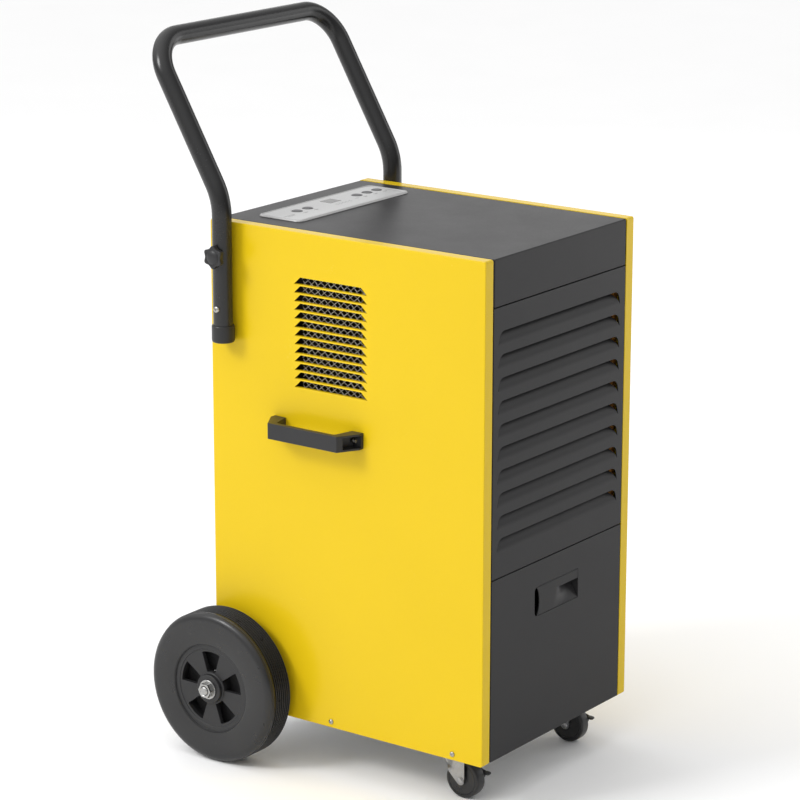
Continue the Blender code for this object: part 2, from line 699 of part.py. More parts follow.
# ------------------------------------------------------------------------ casters
def build_caster(side, cx):
    plate = solid(f"caster_plate_{side}", ZINC,
                  lambda bm: box(bm, cx - 28, cx + 28, KINGPIN_Y - 28, KINGPIN_Y + 28, 64.7, 67.2))
    boolean(plate, f"tool_caster_pin_{side}",
            lambda bm: turn(bm, [(0, 53.0), (6.5, 53.0), (7.5, 54.5), (7.5, 56.4), (4.0, 56.4), (4.0, 60.8),
                                 (14.0, 61.5), (16.0, 65.4), (0, 65.4)], "Z", (cx, KINGPIN_Y), 16, closed=False), "UNION")

    cheek = [(-210.9, 60.2), (-210.9, 25.0), (-210.0, 21.9), (-207.9, 19.8), (-204.9, 19.0), (-201.6, 19.9),
             (-199.6, 21.6), (-164.0, 57.0), (-164.0, 60.2)]
    fork = solid(f"caster_fork_{side}", ZINC,
                 lambda bm: box(bm, cx - 12.5, cx + 12.5, -210.9, -163.0, 56.9, 60.1),
                 origin=(cx, KINGPIN_Y, 58.0))

    def cheeks(bm):
        prism(bm, cheek, "X", cx - 12.7, cx - 10.5)
        prism(bm, cheek, "X", cx + 10.5, cx + 12.7)
    boolean(fork, f"tool_fork_cheeks_{side}", cheeks, "UNION")
    boolean(fork, f"tool_fork_cap_{side}",
            lambda bm: turn(bm, [(0, 56.7), (19.5, 56.7), (19.5, 60.4), (0, 60.4)], "Z", (cx, KINGPIN_Y), 20, closed=False), "UNION")
    boolean(fork, f"tool_fork_bore_{side}", lambda bm: rod(bm, "Z", (cx, KINGPIN_Y), 4.4, 50.0, 66.0, 16))
    boolean(fork, f"tool_fork_axle_{side}",
            lambda bm: turn(bm, [(0, cx - 14.7), (3.2, cx - 14.7), (4.0, cx - 13.9), (4.0, cx - 12.0), (3.0, cx - 12.0),
                                 (3.0, cx + 12.0), (4.0, cx + 12.0), (4.0, cx + 12.75), (0, cx + 12.75)],
                            "X", (CASTER_Y, CASTER_R), 12, closed=False), "UNION")

    solid(f"caster_wheel_{side}", RUBBER,
          lambda bm: turn(bm, [(3.5, cx - 8.9), (6.5, cx - 8.9), (6.5, cx - 8.0), (22.0, cx - CASTER_HALF), (24.2, cx - 7.6),
                               (25.0, cx - 5.5), (25.0, cx + 5.5), (24.2, cx + 7.6), (22.0, cx + CASTER_HALF),
                               (6.5, cx + 8.0), (6.5, cx + 8.9), (3.5, cx + 8.9)], "X", (CASTER_Y, CASTER_R), 20),
          origin=(cx, CASTER_Y, CASTER_R))

    lever = [(-203.5, 40.5), (-206.0, 44.2), (-211.0, 44.0), (-221.0, 38.6), (-233.0, 36.6), (-233.5, 34.5),
             (-225.9, 33.2), (-224.5, 28.6), (-222.0, 28.2), (-220.5, 33.2), (-207.0, 37.0)]
    pedal = solid(f"brake_pedal_{side}", BLACK,
                  lambda bm: prism(bm, lever, "X", cx + 13.1, cx + 15.6),
                  origin=(cx + 14.3, -207.5, 40.5))
    boolean(pedal, f"tool_pedal_tab_{side}",
            lambda bm: prism(bm, [(-226.4, 37.6), (-233.6, 36.8), (-233.9, 34.4), (-226.4, 33.9)], "X", cx + 9.0, cx + 17.6),
            "UNION")


build_caster("left", -CASTER_X)
build_caster("right", CASTER_X)


# ---------------------------------------------------------------- the water tank
tank_front = solid("tank_front", GREY,
                   lambda bm: box(bm, -BODY_X, BODY_X, -260.9, -258.1, BASE_Z + 0.8, SEAM_TANK_Z - GAP),
                   origin=(0, -259.0, 187.0))
boolean(tank_front, "tool_front_rib", lambda bm: box(bm, -146, 146, -259.0, -225.4, 72.0, 290.0), "UNION")
boolean(tank_front, "tool_front_hollow", lambda bm: box(bm, -144, 144, -258.1, -220.0, 74.0, 288.0))
boolean(tank_front, "tool_front_pocket", lambda bm: box(bm, -52, 52, -259.1, -229.0, 229.0, 275.0), "UNION")
boolean(tank_front, "tool_front_cavity",
        lambda bm: prism(bm, [(-263.0, 234.0), (-263.0, 260.0), (-258.0, 260.0), (-258.0, 272.0), (-232.5, 272.0),
                              (-232.5, 261.5), (-260.9, 234.0)], "X", -49.0, 49.0))

solid("tank_bucket", CLEAR,
      lambda bm: open_box(bm, -140, 140, -225.0, 4.0, 70.4, 289.5, 2.0), origin=(0, -110.0, 180.0))

FLOAT_X, FLOAT_Y, FLOAT_Z = 82.0, -2.0, 258.0
tank_float = solid("tank_float", FLOAT,
                   lambda bm: rod(bm, "X", (FLOAT_Y, FLOAT_Z), 2.6, FLOAT_X - 10, FLOAT_X + 10, 12),
                   origin=(FLOAT_X, FLOAT_Y, FLOAT_Z))
boolean(tank_float, "tool_float_arm", lambda bm: box(bm, FLOAT_X - 4, FLOAT_X + 4, -34.0, -3.0, 256.4, 259.4), "UNION")
boolean(tank_float, "tool_float_block", lambda bm: box(bm, FLOAT_X - 14, FLOAT_X + 14, -60.0, -31.0, 240.0, 260.6), "UNION")
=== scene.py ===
"""Looks of the commercial dehumidifier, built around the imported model.

Lengths in the builders are millimetres in the model's own frame: the front
faces -Y, the left side panel -X, and +Z is up from the floor.
"""

import math

import bmesh
import bpy
from mathutils import Matrix, Vector


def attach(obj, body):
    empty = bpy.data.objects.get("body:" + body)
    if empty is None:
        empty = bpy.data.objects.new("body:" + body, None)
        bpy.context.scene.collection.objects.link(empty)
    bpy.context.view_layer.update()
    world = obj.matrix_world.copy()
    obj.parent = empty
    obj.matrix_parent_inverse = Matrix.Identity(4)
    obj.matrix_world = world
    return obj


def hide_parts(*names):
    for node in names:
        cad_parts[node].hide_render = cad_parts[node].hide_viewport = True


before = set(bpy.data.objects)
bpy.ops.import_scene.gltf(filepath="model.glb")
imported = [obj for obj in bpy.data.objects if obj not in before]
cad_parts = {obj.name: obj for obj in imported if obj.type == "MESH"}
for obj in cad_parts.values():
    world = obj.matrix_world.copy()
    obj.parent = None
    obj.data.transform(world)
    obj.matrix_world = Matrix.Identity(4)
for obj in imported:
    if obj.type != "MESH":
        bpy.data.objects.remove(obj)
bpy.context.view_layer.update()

MM = 0.001
SIDES = (("left", -1), ("right", 1))
CABINET, HANDLE, TANK = "cabinet", "handle", "tank"


# ------------------------------------------------------------------ materials
class Shade:
    """A Principled material whose colour, roughness and bump come from nodes."""

    def __init__(self, name, metallic=0.0, specular=0.5):
        self.m = bpy.data.materials.new(name)
        self.m.use_nodes = True
        self.t = self.m.node_tree
        self.b = self.t.nodes["Principled BSDF"]
        self.b.inputs["Metallic"].default_value = metallic
        self.b.inputs["Specular IOR Level"].default_value = specular
        self.co = self.t.nodes.new("ShaderNodeTexCoord").outputs["Object"]

    def put(self, socket, value):
        if isinstance(value, bpy.types.NodeSocket):
            self.t.links.new(value, socket)
        elif isinstance(value, (tuple, list)) and len(value) == 3 and socket.type == "RGBA":
            socket.default_value = (*value, 1.0)
        else:
            socket.default_value = value

    def stretch(self, sx, sy, sz):
        n = self.t.nodes.new("ShaderNodeMapping")
        self.t.links.new(self.co, n.inputs["Vector"])
        n.inputs["Scale"].default_value = (sx, sy, sz)
        return n.outputs["Vector"]

    def noise(self, scale, detail=2.0, rough=0.5, co=None, distortion=0.0):
        n = self.t.nodes.new("ShaderNodeTexNoise")
        self.t.links.new(co or self.co, n.inputs["Vector"])
        n.inputs["Scale"].default_value = scale
        n.inputs["Detail"].default_value = detail
        n.inputs["Roughness"].default_value = rough
        n.inputs["Distortion"].default_value = distortion
        return n.outputs["Fac"]

    def cells(self, scale, feature="F1", co=None, out="Distance"):
        n = self.t.nodes.new("ShaderNodeTexVoronoi")
        n.feature = feature
        self.t.links.new(co or self.co, n.inputs["Vector"])
        n.inputs["Scale"].default_value = scale
        return n.outputs[out]

    def wave(self, scale, co=None, direction="X", profile="SIN", distortion=0.0):
        n = self.t.nodes.new("ShaderNodeTexWave")
        n.bands_direction = direction
        n.wave_profile = profile
        self.t.links.new(co or self.co, n.inputs["Vector"])
        n.inputs["Scale"].default_value = scale
        n.inputs["Distortion"].default_value = distortion
        return n.outputs["Fac"]

    def ramp(self, value, lo, hi, a=0.0, b=1.0):
        n = self.t.nodes.new("ShaderNodeMapRange")
        self.put(n.inputs["Value"], value)
        n.inputs["From Min"].default_value = lo
        n.inputs["From Max"].default_value = hi
        n.inputs["To Min"].default_value = a
        n.inputs["To Max"].default_value = b
        return n.outputs["Result"]

    def mul(self, a, b, kind="MULTIPLY"):
        n = self.t.nodes.new("ShaderNodeMath")
        n.operation = kind
        self.put(n.inputs[0], a)
        self.put(n.inputs[1], b)
        return n.outputs[0]

    def blend(self, fac, a, b):
        n = self.t.nodes.new("ShaderNodeMix")
        n.data_type = "RGBA"
        self.put(n.inputs["Factor"], fac)
        self.put(n.inputs["A"], a)
        self.put(n.inputs["B"], b)
        return n.outputs["Result"]

    def edges(self, radius):
        """0 on flat ground and about 1 on an edge of that radius or sharper."""
        bev = self.t.nodes.new("ShaderNodeBevel")
        bev.samples = 3
        bev.inputs["Radius"].default_value = radius
        geo = self.t.nodes.new("ShaderNodeNewGeometry")
        dot = self.t.nodes.new("ShaderNodeVectorMath")
        dot.operation = "DOT_PRODUCT"
        self.t.links.new(bev.outputs[0], dot.inputs[0])
        self.t.links.new(geo.outputs["Normal"], dot.inputs[1])
        return self.ramp(dot.outputs["Value"], 0.99, 0.86)

    def colour(self, value):
        self.put(self.b.inputs["Base Color"], value)
        return self

    def rough(self, value):
        self.put(self.b.inputs["Roughness"], value)
        return self

    def bump(self, height, distance, strength=1.0):
        n = self.t.nodes.new("ShaderNodeBump")
        n.inputs["Strength"].default_value = strength
        n.inputs["Distance"].default_value = distance
        self.put(n.inputs["Height"], height)
        self.t.links.new(n.outputs["Normal"], self.b.inputs["Normal"])
        return self


def tint(rgb, k):
    return tuple(min(1.0, c * k) for c in rgb)


def powder_coat(name, rgb, rough, specular, peel=0.00006, wear=None):
    s = Shade(name, specular=specular)
    broad = s.ramp(s.noise(5.0, 2.0), 0.35, 0.65)
    col = s.blend(broad, tint(rgb, 0.99), tint(rgb, 1.01))
    speck = s.ramp(s.noise(2600.0, 1.0), 0.60, 0.76)
    col = s.blend(s.mul(speck, 0.22), col, tint(rgb, 1.35))
    pit = s.ramp(s.noise(1900.0, 1.0), 0.30, 0.22)
    col = s.blend(s.mul(pit, 0.25), col, tint(rgb, 0.6))
    if wear:
        rub = s.mul(s.edges(0.0007), s.ramp(s.noise(90.0, 4.0, 0.7), 0.42, 0.62))
        col = s.blend(s.mul(rub, 0.5), col, wear)
    s.colour(col)
    haze = s.ramp(s.noise(16.0, 3.0, 0.6), 0.3, 0.7, rough - 0.02, rough + 0.02)
    s.rough(s.mul(haze, s.ramp(s.noise(240.0, 3.0, 0.7), 0.45, 0.8, 0.0, 0.03), "ADD"))
    h = s.mul(s.noise(620.0, 2.0, 0.55), s.mul(s.noise(2600.0, 1.0), 0.25), "ADD")
    s.bump(h, peel, 0.6)
    return s.m


def moulded(name, rgb, rough, specular=0.5, grain=1500.0, depth=0.00005):
    s = Shade(name, specular=specular)
    col = s.blend(s.ramp(s.noise(9.0, 2.0), 0.35, 0.65), tint(rgb, 0.94), tint(rgb, 1.05))
    dust = s.ramp(s.noise(60.0, 5.0, 0.75), 0.62, 0.85)
    col = s.blend(s.mul(dust, 0.10), col, tint(rgb, 2.6))
    s.colour(col)
    s.rough(s.ramp(s.noise(35.0, 3.0, 0.6), 0.3, 0.7, rough - 0.05, rough + 0.06))
    s.bump(s.mul(s.cells(grain), s.noise(grain * 0.6, 2.0), "ADD"), depth, 0.55)
    return s.m


def bright_metal(name, rgb, rough, brush=(300.0, 300.0, 4000.0), depth=0.00003):
    s = Shade(name, metallic=1.0)
    fine = s.noise(1.0, 4.0, 0.65, s.stretch(*brush))
    haze = s.ramp(s.noise(120.0, 4.0, 0.7), 0.3, 0.75)
    col = s.blend(haze, tint(rgb, 0.88), tint(rgb, 1.05))
    s.colour(col)
    s.rough(s.mul(s.ramp(fine, 0.3, 0.7, rough - 0.06, rough + 0.08), s.mul(haze, 0.05), "ADD"))
    s.bump(fine, depth, 0.35)
    return s.m


def make_materials():
    m = {}
    m["yellow"] = powder_coat("yellow_powder_coat", (0.700, 0.482, 0.008), 0.24, 0.20, wear=(0.84, 0.64, 0.16))
    m["dark"] = powder_coat("dark_powder_coat", (0.0265, 0.0260, 0.0268), 0.34, 0.135, wear=(0.11, 0.11, 0.11))
    m["tube"] = powder_coat("tube_powder_coat", (0.0145, 0.0145, 0.0150), 0.25, 0.43, 0.000008)
    m["plastic"] = moulded("black_moulded_plastic", (0.022, 0.022, 0.023), 0.36, 0.33)
    m["pedal"] = moulded("pedal_plastic", (0.034, 0.034, 0.035), 0.38, 0.45)
    m["hub"] = moulded("wheel_hub_plastic", (0.023, 0.023, 0.024), 0.42, 0.32, 1100.0)
    m["hub_back"] = moulded("wheel_hub_inner", (0.030, 0.030, 0.031), 0.6, 0.25, 1100.0)

    s = Shade("tyre_rubber", specular=0.44)
    base = (0.0145, 0.0145, 0.0152)
    col = s.blend(s.ramp(s.noise(14.0, 3.0), 0.35, 0.7), tint(base, 0.9), tint(base, 1.1))
    dust = s.mul(s.ramp(s.noise(160.0, 5.0, 0.8), 0.6, 0.8), 0.16)
    col = s.blend(dust, col, (0.16, 0.155, 0.145))
    s.colour(col)
    s.rough(s.ramp(s.noise(48.0, 4.0, 0.65), 0.3, 0.72, 0.26, 0.36))
    s.bump(s.mul(s.noise(900.0, 3.0, 0.6), s.cells(2100.0), "ADD"), 0.00006, 0.5)
    m["tyre"] = s.m

    m["zinc"] = bright_metal("zinc_plate", (0.37, 0.37, 0.375), 0.27, depth=0.00001)
    m["steel"] = bright_metal("bright_screw_steel", (0.44, 0.43, 0.41), 0.24, depth=0.00001)
    m["nut"] = bright_metal("bright_zinc_nut", (0.40, 0.40, 0.395), 0.25, depth=0.000003)

    s = Shade("galvanised_sheet", metallic=1.0)
    cell = s.cells(95.0, out="Color")
    grey = s.t.nodes.new("ShaderNodeRGBToBW")
    s.t.links.new(cell, grey.inputs[0])
    flake = grey.outputs[0]
    col = s.blend(flake, (0.44, 0.45, 0.46), (0.60, 0.61, 0.62))
    s.colour(s.blend(s.mul(s.ramp(s.noise(300.0, 4.0, 0.7), 0.55, 0.8), 0.3), col, (0.36, 0.36, 0.36)))
    s.rough(s.ramp(flake, 0.2, 0.8, 0.34, 0.52))
    s.bump(s.mul(s.cells(95.0, "DISTANCE_TO_EDGE"), s.noise(700.0, 2.0), "ADD"), 0.00005, 0.3)
    m["galv"] = s.m

    s = Shade("vent_wire", metallic=1.0)
    s.colour(s.blend(s.ramp(s.noise(260.0, 3.0), 0.35, 0.7), (0.24, 0.23, 0.22), (0.42, 0.41, 0.38)))
    s.rough(s.ramp(s.noise(900.0, 2.0), 0.3, 0.7, 0.30, 0.46))
    s.bump(s.noise(2400.0, 2.0), 0.00004, 0.4)
    m["wire"] = s.m

    s = Shade("silver_bezel_paint", metallic=0.25, specular=0.5)
    s.colour(s.blend(s.ramp(s.noise(1800.0, 2.0), 0.4, 0.6), (0.42, 0.42, 0.418), (0.49, 0.49, 0.487)))
    s.rough(s.ramp(s.noise(30.0, 3.0), 0.3, 0.7, 0.27, 0.36))
    s.bump(s.noise(2400.0, 2.0), 0.00003, 0.4)
    m["bezel"] = s.m

    s = Shade("overlay_film", specular=0.45)
    brushed = s.noise(1.0, 3.0, 0.6, s.stretch(60.0, 5200.0, 60.0))
    s.colour(s.blend(s.ramp(brushed, 0.35, 0.7), (0.46, 0.46, 0.46), (0.52, 0.52, 0.517)))
    s.rough(s.ramp(s.noise(420.0, 3.0), 0.3, 0.7, 0.34, 0.44))
    s.bump(brushed, 0.00002, 0.4)
    m["film"] = s.m

    s = Shade("print_ink", specular=0.3)
    s.colour(s.blend(s.noise(700.0, 2.0), (0.20, 0.20, 0.20), (0.30, 0.30, 0.30)))
    s.rough(s.ramp(s.noise(500.0), 0.3, 0.7, 0.42, 0.55))
    m["ink"] = s.m

    s = Shade("button_rubber", specular=0.4)
    s.colour(s.blend(s.ramp(s.noise(600.0, 3.0), 0.35, 0.7), (0.105, 0.105, 0.108), (0.145, 0.145, 0.148)))
    s.rough(s.ramp(s.noise(300.0, 3.0), 0.3, 0.7, 0.42, 0.56))
    s.bump(s.noise(2600.0, 2.0), 0.00004, 0.5)
    m["button"] = s.m

    s = Shade("display_lens", specular=0.6)
    s.colour(s.blend(s.ramp(s.noise(40.0, 2.0), 0.3, 0.7), (0.055, 0.055, 0.052), (0.085, 0.085, 0.08)))
    s.rough(s.ramp(s.noise(160.0, 4.0, 0.7), 0.3, 0.75, 0.10, 0.22))
    m["lens"] = s.m

    s = Shade("aluminium_fins", metallic=1.0)
    edge = s.noise(1.0, 3.0, 0.6, s.stretch(2600.0, 200.0, 60.0))
    s.colour(s.blend(s.ramp(edge, 0.3, 0.7), (0.55, 0.56, 0.57), (0.80, 0.81, 0.82)))
    s.rough(s.ramp(s.noise(180.0, 3.0), 0.3, 0.7, 0.30, 0.46))
    s.bump(s.wave(160.0, direction="Z"), 0.0003, 0.3)
    m["fins"] = s.m

    s = Shade("copper_tube", metallic=1.0)
    tarnish = s.ramp(s.noise(70.0, 5.0, 0.7), 0.4, 0.7)
    s.colour(s.blend(tarnish, (0.78, 0.38, 0.21), (0.50, 0.22, 0.12)))
    s.rough(s.ramp(s.noise(140.0, 3.0), 0.3, 0.7, 0.22, 0.42))
    s.bump(s.noise(900.0, 2.0), 0.00005, 0.3)
    m["copper"] = s.m

    m["enamel"] = powder_coat("black_enamel", (0.018, 0.018, 0.019), 0.28, 0.5)

    s = Shade("filter_foam", specular=0.1)
    pores = s.ramp(s.cells(620.0), 0.1, 0.5)
    s.colour(s.blend(pores, (0.010, 0.010, 0.011), (0.055, 0.055, 0.058)))
    s.rough(s.ramp(pores, 0.0, 1.0, 0.98, 0.86))
    s.bump(pores, 0.0006, 0.8)
    m["foam"] = s.m

    s = Shade("circuit_board", specular=0.4)
    mask = s.ramp(s.wave(70.0, direction="X", distortion=6.0), 0.46, 0.54)
    s.colour(s.blend(mask, (0.010, 0.085, 0.035), (0.020, 0.15, 0.06)))
    s.rough(s.ramp(s.noise(300.0), 0.3, 0.7, 0.35, 0.5))
    s.bump(mask, 0.00005, 0.5)
    m["board"] = s.m

    s = Shade("tank_polypropylene", specular=0.45)
    cloud = s.ramp(s.noise(11.0, 4.0), 0.3, 0.7)
    s.colour(s.blend(cloud, (0.62, 0.64, 0.65), (0.72, 0.74, 0.75)))
    s.rough(s.ramp(s.noise(60.0, 3.0), 0.3, 0.7, 0.26, 0.40))
    s.bump(s.noise(800.0, 2.0), 0.00006, 0.4)
    s.b.inputs["Subsurface Weight"].default_value = 0.12
    s.b.inputs["Subsurface Radius"].default_value = (0.006, 0.006, 0.006)
    m["tank"] = s.m

    s = Shade("float_foam", specular=0.3)
    s.colour(s.blend(s.ramp(s.cells(700.0), 0.1, 0.6), (0.74, 0.73, 0.69), (0.86, 0.85, 0.82)))
    s.rough(s.ramp(s.noise(400.0), 0.3, 0.7, 0.6, 0.8))
    s.bump(s.cells(700.0), 0.0001, 0.6)
    m["float"] = s.m

    # Orange-brown sheet: painted shade, standing for the yellow side panel's inside seen in shade through the open
    # louvre ends
    s = Shade("painted_shade_orange_sheet", specular=0.2)
    s.colour(s.blend(s.noise(500.0, 3.0), (0.30, 0.12, 0.02), (0.46, 0.20, 0.035)))
    s.rough(s.ramp(s.noise(600.0), 0.3, 0.7, 0.7, 0.9))
    s.bump(s.cells(900.0), 0.0002, 0.6)
    m["seal"] = s.m
    return m


M = make_materials()


# ------------------------------------------------------------ geometry helpers
def fillet(points, radius, steps=4, closed=True):
    """Rounds the corners of a 2-D outline. radius is a number or one per point."""
    pts = [Vector(p) for p in points]
    n, out = len(pts), []
    for i, p in enumerate(pts):
        r = radius[i] if isinstance(radius, (list, tuple)) else radius
        if r <= 0 or (not closed and i in (0, n - 1)):
            out.append(tuple(p))
            continue
        u, w = pts[i - 1] - p, pts[(i + 1) % n] - p
        lu, lw = u.length, w.length
        u.normalize()
        w.normalize()
        ang = math.acos(max(-1.0, min(1.0, u.dot(w))))
        if ang > math.pi - 1e-3:
            out.append(tuple(p))
            continue
        reach = min(r / math.tan(ang / 2), 0.49 * lu, 0.49 * lw)
        rr = reach * math.tan(ang / 2)
        c = p + (u + w).normalized() * (rr / math.sin(ang / 2))
        s, e = p + u * reach - c, p + w * reach - c
        a0, a1 = math.atan2(s.y, s.x), math.atan2(e.y, e.x)
        da = (a1 - a0 + math.pi) % (2 * math.pi) - math.pi
        for k in range(steps + 1):
            t = a0 + da * k / steps
            out.append((c.x + rr * math.cos(t), c.y + rr * math.sin(t)))
    return out


def area(loop):
    return 0.5 * sum(a[0] * b[1] - b[0] * a[1] for a, b in zip(loop, loop[1:] + loop[:1]))


def ccw(loop):
    return list(loop) if area(loop) > 0 else list(reversed(loop))


def offset(loop, d):
    """Moves a counter-clockwise outline inwards by d (outwards if negative)."""
    pts, out = [Vector(p) for p in loop], []
    n = len(pts)
    for i in range(n):
        e1 = (pts[i] - pts[i - 1]).normalized()
        e2 = (pts[(i + 1) % n] - pts[i]).normalized()
        n1, n2 = Vector((-e1.y, e1.x)), Vector((-e2.y, e2.x))
        k = max(0.25, 1.0 + n1.dot(n2))
        out.append(tuple(pts[i] + (n1 + n2) * (d / k)))
    return out


def circle(cx, cy, r, seg):
    return [(cx + r * math.cos(2 * math.pi * k / seg), cy + r * math.sin(2 * math.pi * k / seg)) for k in range(seg)]


def ring(bm, loop, place, h):
    return [bm.verts.new(place(u, v, h)) for u, v in loop]


def join(bm, a, b, closed=True):
    n = len(a)
    for i in range(n if closed else n - 1):
        j = (i + 1) % n
        bm.faces.new((a[i], a[j], b[j], b[i]))


def edges_of(bm, verts):
    out = []
    for a, b in zip(verts, verts[1:] + verts[:1]):
        out.append(bm.edges.get((a, b)) or bm.edges.new((a, b)))
    return out


def fill(bm, loops, normal):
    edges = [e for l in loops for e in edges_of(bm, l)]
    bmesh.ops.triangle_fill(bm, use_beauty=True, use_dissolve=False, edges=edges, normal=normal)


def quarter(r, steps):
    """(inset, height) points of a rounded edge, from the face to the side."""
    return [(r * (1 - math.sin(math.pi / 2 * k / steps)), -r * (1 - math.cos(math.pi / 2 * k / steps)))
            for k in range(steps + 1)]


def shell(bm, outline, place, normal, bend_r, depth, sheet, holes=(), cuts=None, hem=0.35, steps=5):
    """A pressed tray: a flat face, a bend all round and a flange of that depth.
    The face is at height 0 and the flange runs to -depth."""
    outline = ccw(outline)
    prof = quarter(bend_r, steps)
    prof += [(0.0, -depth + hem), (hem * 0.3, -depth + hem * 0.3), (hem, -depth),
             (sheet - hem, -depth), (sheet - hem * 0.3, -depth + hem * 0.3), (sheet, -depth + hem)]
    inner_r = max(bend_r - sheet, 0.25)
    prof += [(sheet + a, -sheet + b) for a, b in reversed(quarter(inner_r, 3))]
    rings = [ring(bm, offset(outline, i), place, h) for i, h in prof]
    for a, b in zip(rings, rings[1:]):
        join(bm, a, b)
    front, back = [rings[0]], [rings[-1]]
    for loop, r in holes:
        loop = ccw(loop)
        prof_h = [(-a, b) for a, b in quarter(r, 2)] + [(0.0, -sheet)]
        hr = [ring(bm, offset(loop, i), place, h) for i, h in prof_h]
        for a, b in zip(hr, hr[1:]):
            join(bm, a, b)
        front.append(hr[0])
        back.append(hr[-1])
    if cuts:
        for f, b in cuts(bm):
            front.append(f)
            back.append(b)
    fill(bm, front, normal)
    fill(bm, back, tuple(-c for c in normal))


def slab(bm, outline, place, normal, thick, r_face=0.6, r_back=0.4, holes=(), steps=3, r_hole=None):
    """A solid plate with rounded edges, its face at height 0."""
    outline = ccw(outline)
    prof = quarter(r_face, steps) + [(a, -thick - b) for a, b in reversed(quarter(r_back, 2))]
    rings = [ring(bm, offset(outline, i), place, h) for i, h in prof]
    for a, b in zip(rings, rings[1:]):
        join(bm, a, b)
    front, back = [rings[0]], [rings[-1]]
    rh = r_face if r_hole is None else r_hole
    for loop in holes:
        loop = ccw(loop)
        prof_h = [(-a, b) for a, b in quarter(rh, steps)] + [(0.0, -thick)]
        hr = [ring(bm, offset(loop, i), place, h) for i, h in prof_h]
        for a, b in zip(hr, hr[1:]):
            join(bm, a, b)
        front.append(hr[0])
        back.append(hr[-1])
    fill(bm, front, normal)
    fill(bm, back, tuple(-c for c in normal))


def axis_place(axis, centre):
    if axis == "X":
        return lambda c, s, a: (a, centre[0] + c, centre[1] + s)
    if axis == "Y":
        return lambda c, s, a: (centre[0] + c, a, centre[1] + s)
    return lambda c, s, a: (centre[0] + c, centre[1] + s, a)


def turn(bm, profile, axis, centre, seg, closed=True, phase=0.0):
    """Revolves (radius, height) points; a radius may depend on the angle."""
    put = axis_place(axis, centre)
    rings = []
    for r, a in profile:
        if not callable(r) and abs(r) < 1e-9:
            rings.append([bm.verts.new(put(0.0, 0.0, a))])
            continue
        row = []
        for k in range(seg):
            t = 2 * math.pi * k / seg + phase
            q = r(t) if callable(r) else r
            row.append(bm.verts.new(put(q * math.cos(t), q * math.sin(t), a(t) if callable(a) else a)))
        rings.append(row)
    pairs = list(zip(rings, rings[1:]))
    if closed:
        pairs.append((rings[-1], rings[0]))
    for p, q in pairs:
        for k in range(seg):
            m = (k + 1) % seg
            if len(p) == 1 and len(q) == 1:
                continue
            if len(p) == 1:
                bm.faces.new((p[0], q[k], q[m]))
            elif len(q) == 1:
                bm.faces.new((p[k], p[m], q[0]))
            else:
                bm.faces.new((p[k], p[m], q[m], q[k]))


def lathe(bm, points, radii, axis, centre, seg, steps=4, closed=True):
    turn(bm, fillet(points, radii, steps, closed), axis, centre, seg, closed)


def bend(points, radii, steps):
    pts = [Vector(p) for p in points]
    out = [pts[0]]
    for a, b, c, radius in zip(pts, pts[1:], pts[2:], radii):
        u, w = (a - b).normalized(), (c - b).normalized()
        half = u.angle(w) / 2
        reach = radius / math.tan(half)
        mid = b + (u + w).normalized() * (radius / math.sin(half))
        e0, e1 = b + u * reach - mid, b + w * reach - mid
        total, normal = e0.angle(e1), e0.cross(e1).normalized()
        for i in range(steps + 1):
            out.append(mid + Matrix.Rotation(total * i / steps, 3, normal) @ e0)
    out.append(pts[-1])
    return out


def sweep(bm, path, radius, seg, inner=0.0):
    path = [Vector(p) for p in path]
    tangents = [(path[min(i + 1, len(path) - 1)] - path[max(i - 1, 0)]).normalized() for i in range(len(path))]
    side = tangents[0].orthogonal().normalized()
    frames = []
    for i, t in enumerate(tangents):
        if i:
            side = tangents[i - 1].rotation_difference(t) @ side
            side = (side - t * side.dot(t)).normalized()
        frames.append((side.copy(), t.cross(side)))

    def skin(r):
        rows = [[bm.verts.new(p + a * (r * math.cos(2 * math.pi * k / seg)) + b * (r * math.sin(2 * math.pi * k / seg)))
                 for k in range(seg)] for p, (a, b) in zip(path, frames)]
        for a, b in zip(rows, rows[1:]):
            join(bm, a, b)
        return rows
    outer = skin(radius)
    if inner <= 0:
        bm.faces.new(outer[0])
        bm.faces.new(list(reversed(outer[-1])))
        return
    core = skin(inner)
    join(bm, outer[0], core[0])
    join(bm, outer[-1], core[-1])


def box(bm, x0, x1, y0, y1, z0, z1):
    xs, ys, zs = sorted((x0, x1)), sorted((y0, y1)), sorted((z0, z1))
    v = [bm.verts.new((x, y, z)) for x in xs for y in ys for z in zs]
    for f in ((0, 1, 3, 2), (4, 6, 7, 5), (0, 4, 5, 1), (2, 3, 7, 6), (0, 2, 6, 4), (1, 5, 7, 3)):
        bm.faces.new([v[i] for i in f])


def grid_solid(bm, front, back):
    """Closes two matching grids of points, a front and a back, into a solid."""
    f = [[bm.verts.new(p) for p in row] for row in front]
    b = [[bm.verts.new(p) for p in row] for row in back]
    rows, cols = len(f), len(f[0])
    for i in range(rows - 1):
        for j in range(cols - 1):
            bm.faces.new((f[i][j], f[i][j + 1], f[i + 1][j + 1], f[i + 1][j]))
            bm.faces.new((b[i][j], b[i + 1][j], b[i + 1][j + 1], b[i][j + 1]))
    rim_f = f[0] + [r[-1] for r in f[1:]] + f[-1][-2::-1] + [r[0] for r in f[-2:0:-1]]
    rim_b = b[0] + [r[-1] for r in b[1:]] + b[-1][-2::-1] + [r[0] for r in b[-2:0:-1]]
    join(bm, rim_f, rim_b)


def smooth01(t):
    t = max(0.0, min(1.0, t))
    return t * t * (3 - 2 * t)


def to_object(name, bm, mats, sharp):
    bmesh.ops.recalc_face_normals(bm, faces=bm.faces)
    for v in bm.verts:
        v.co *= MM
    me = bpy.data.meshes.new(name)
    bm.to_mesh(me)
    bm.free()
    for mat in mats:
        me.materials.append(M[mat])
    me.shade_smooth()
    me.set_sharp_from_angle(angle=math.radians(sharp))
    ob = bpy.data.objects.new(name, me)
    bpy.context.scene.collection.objects.link(ob)
    return ob


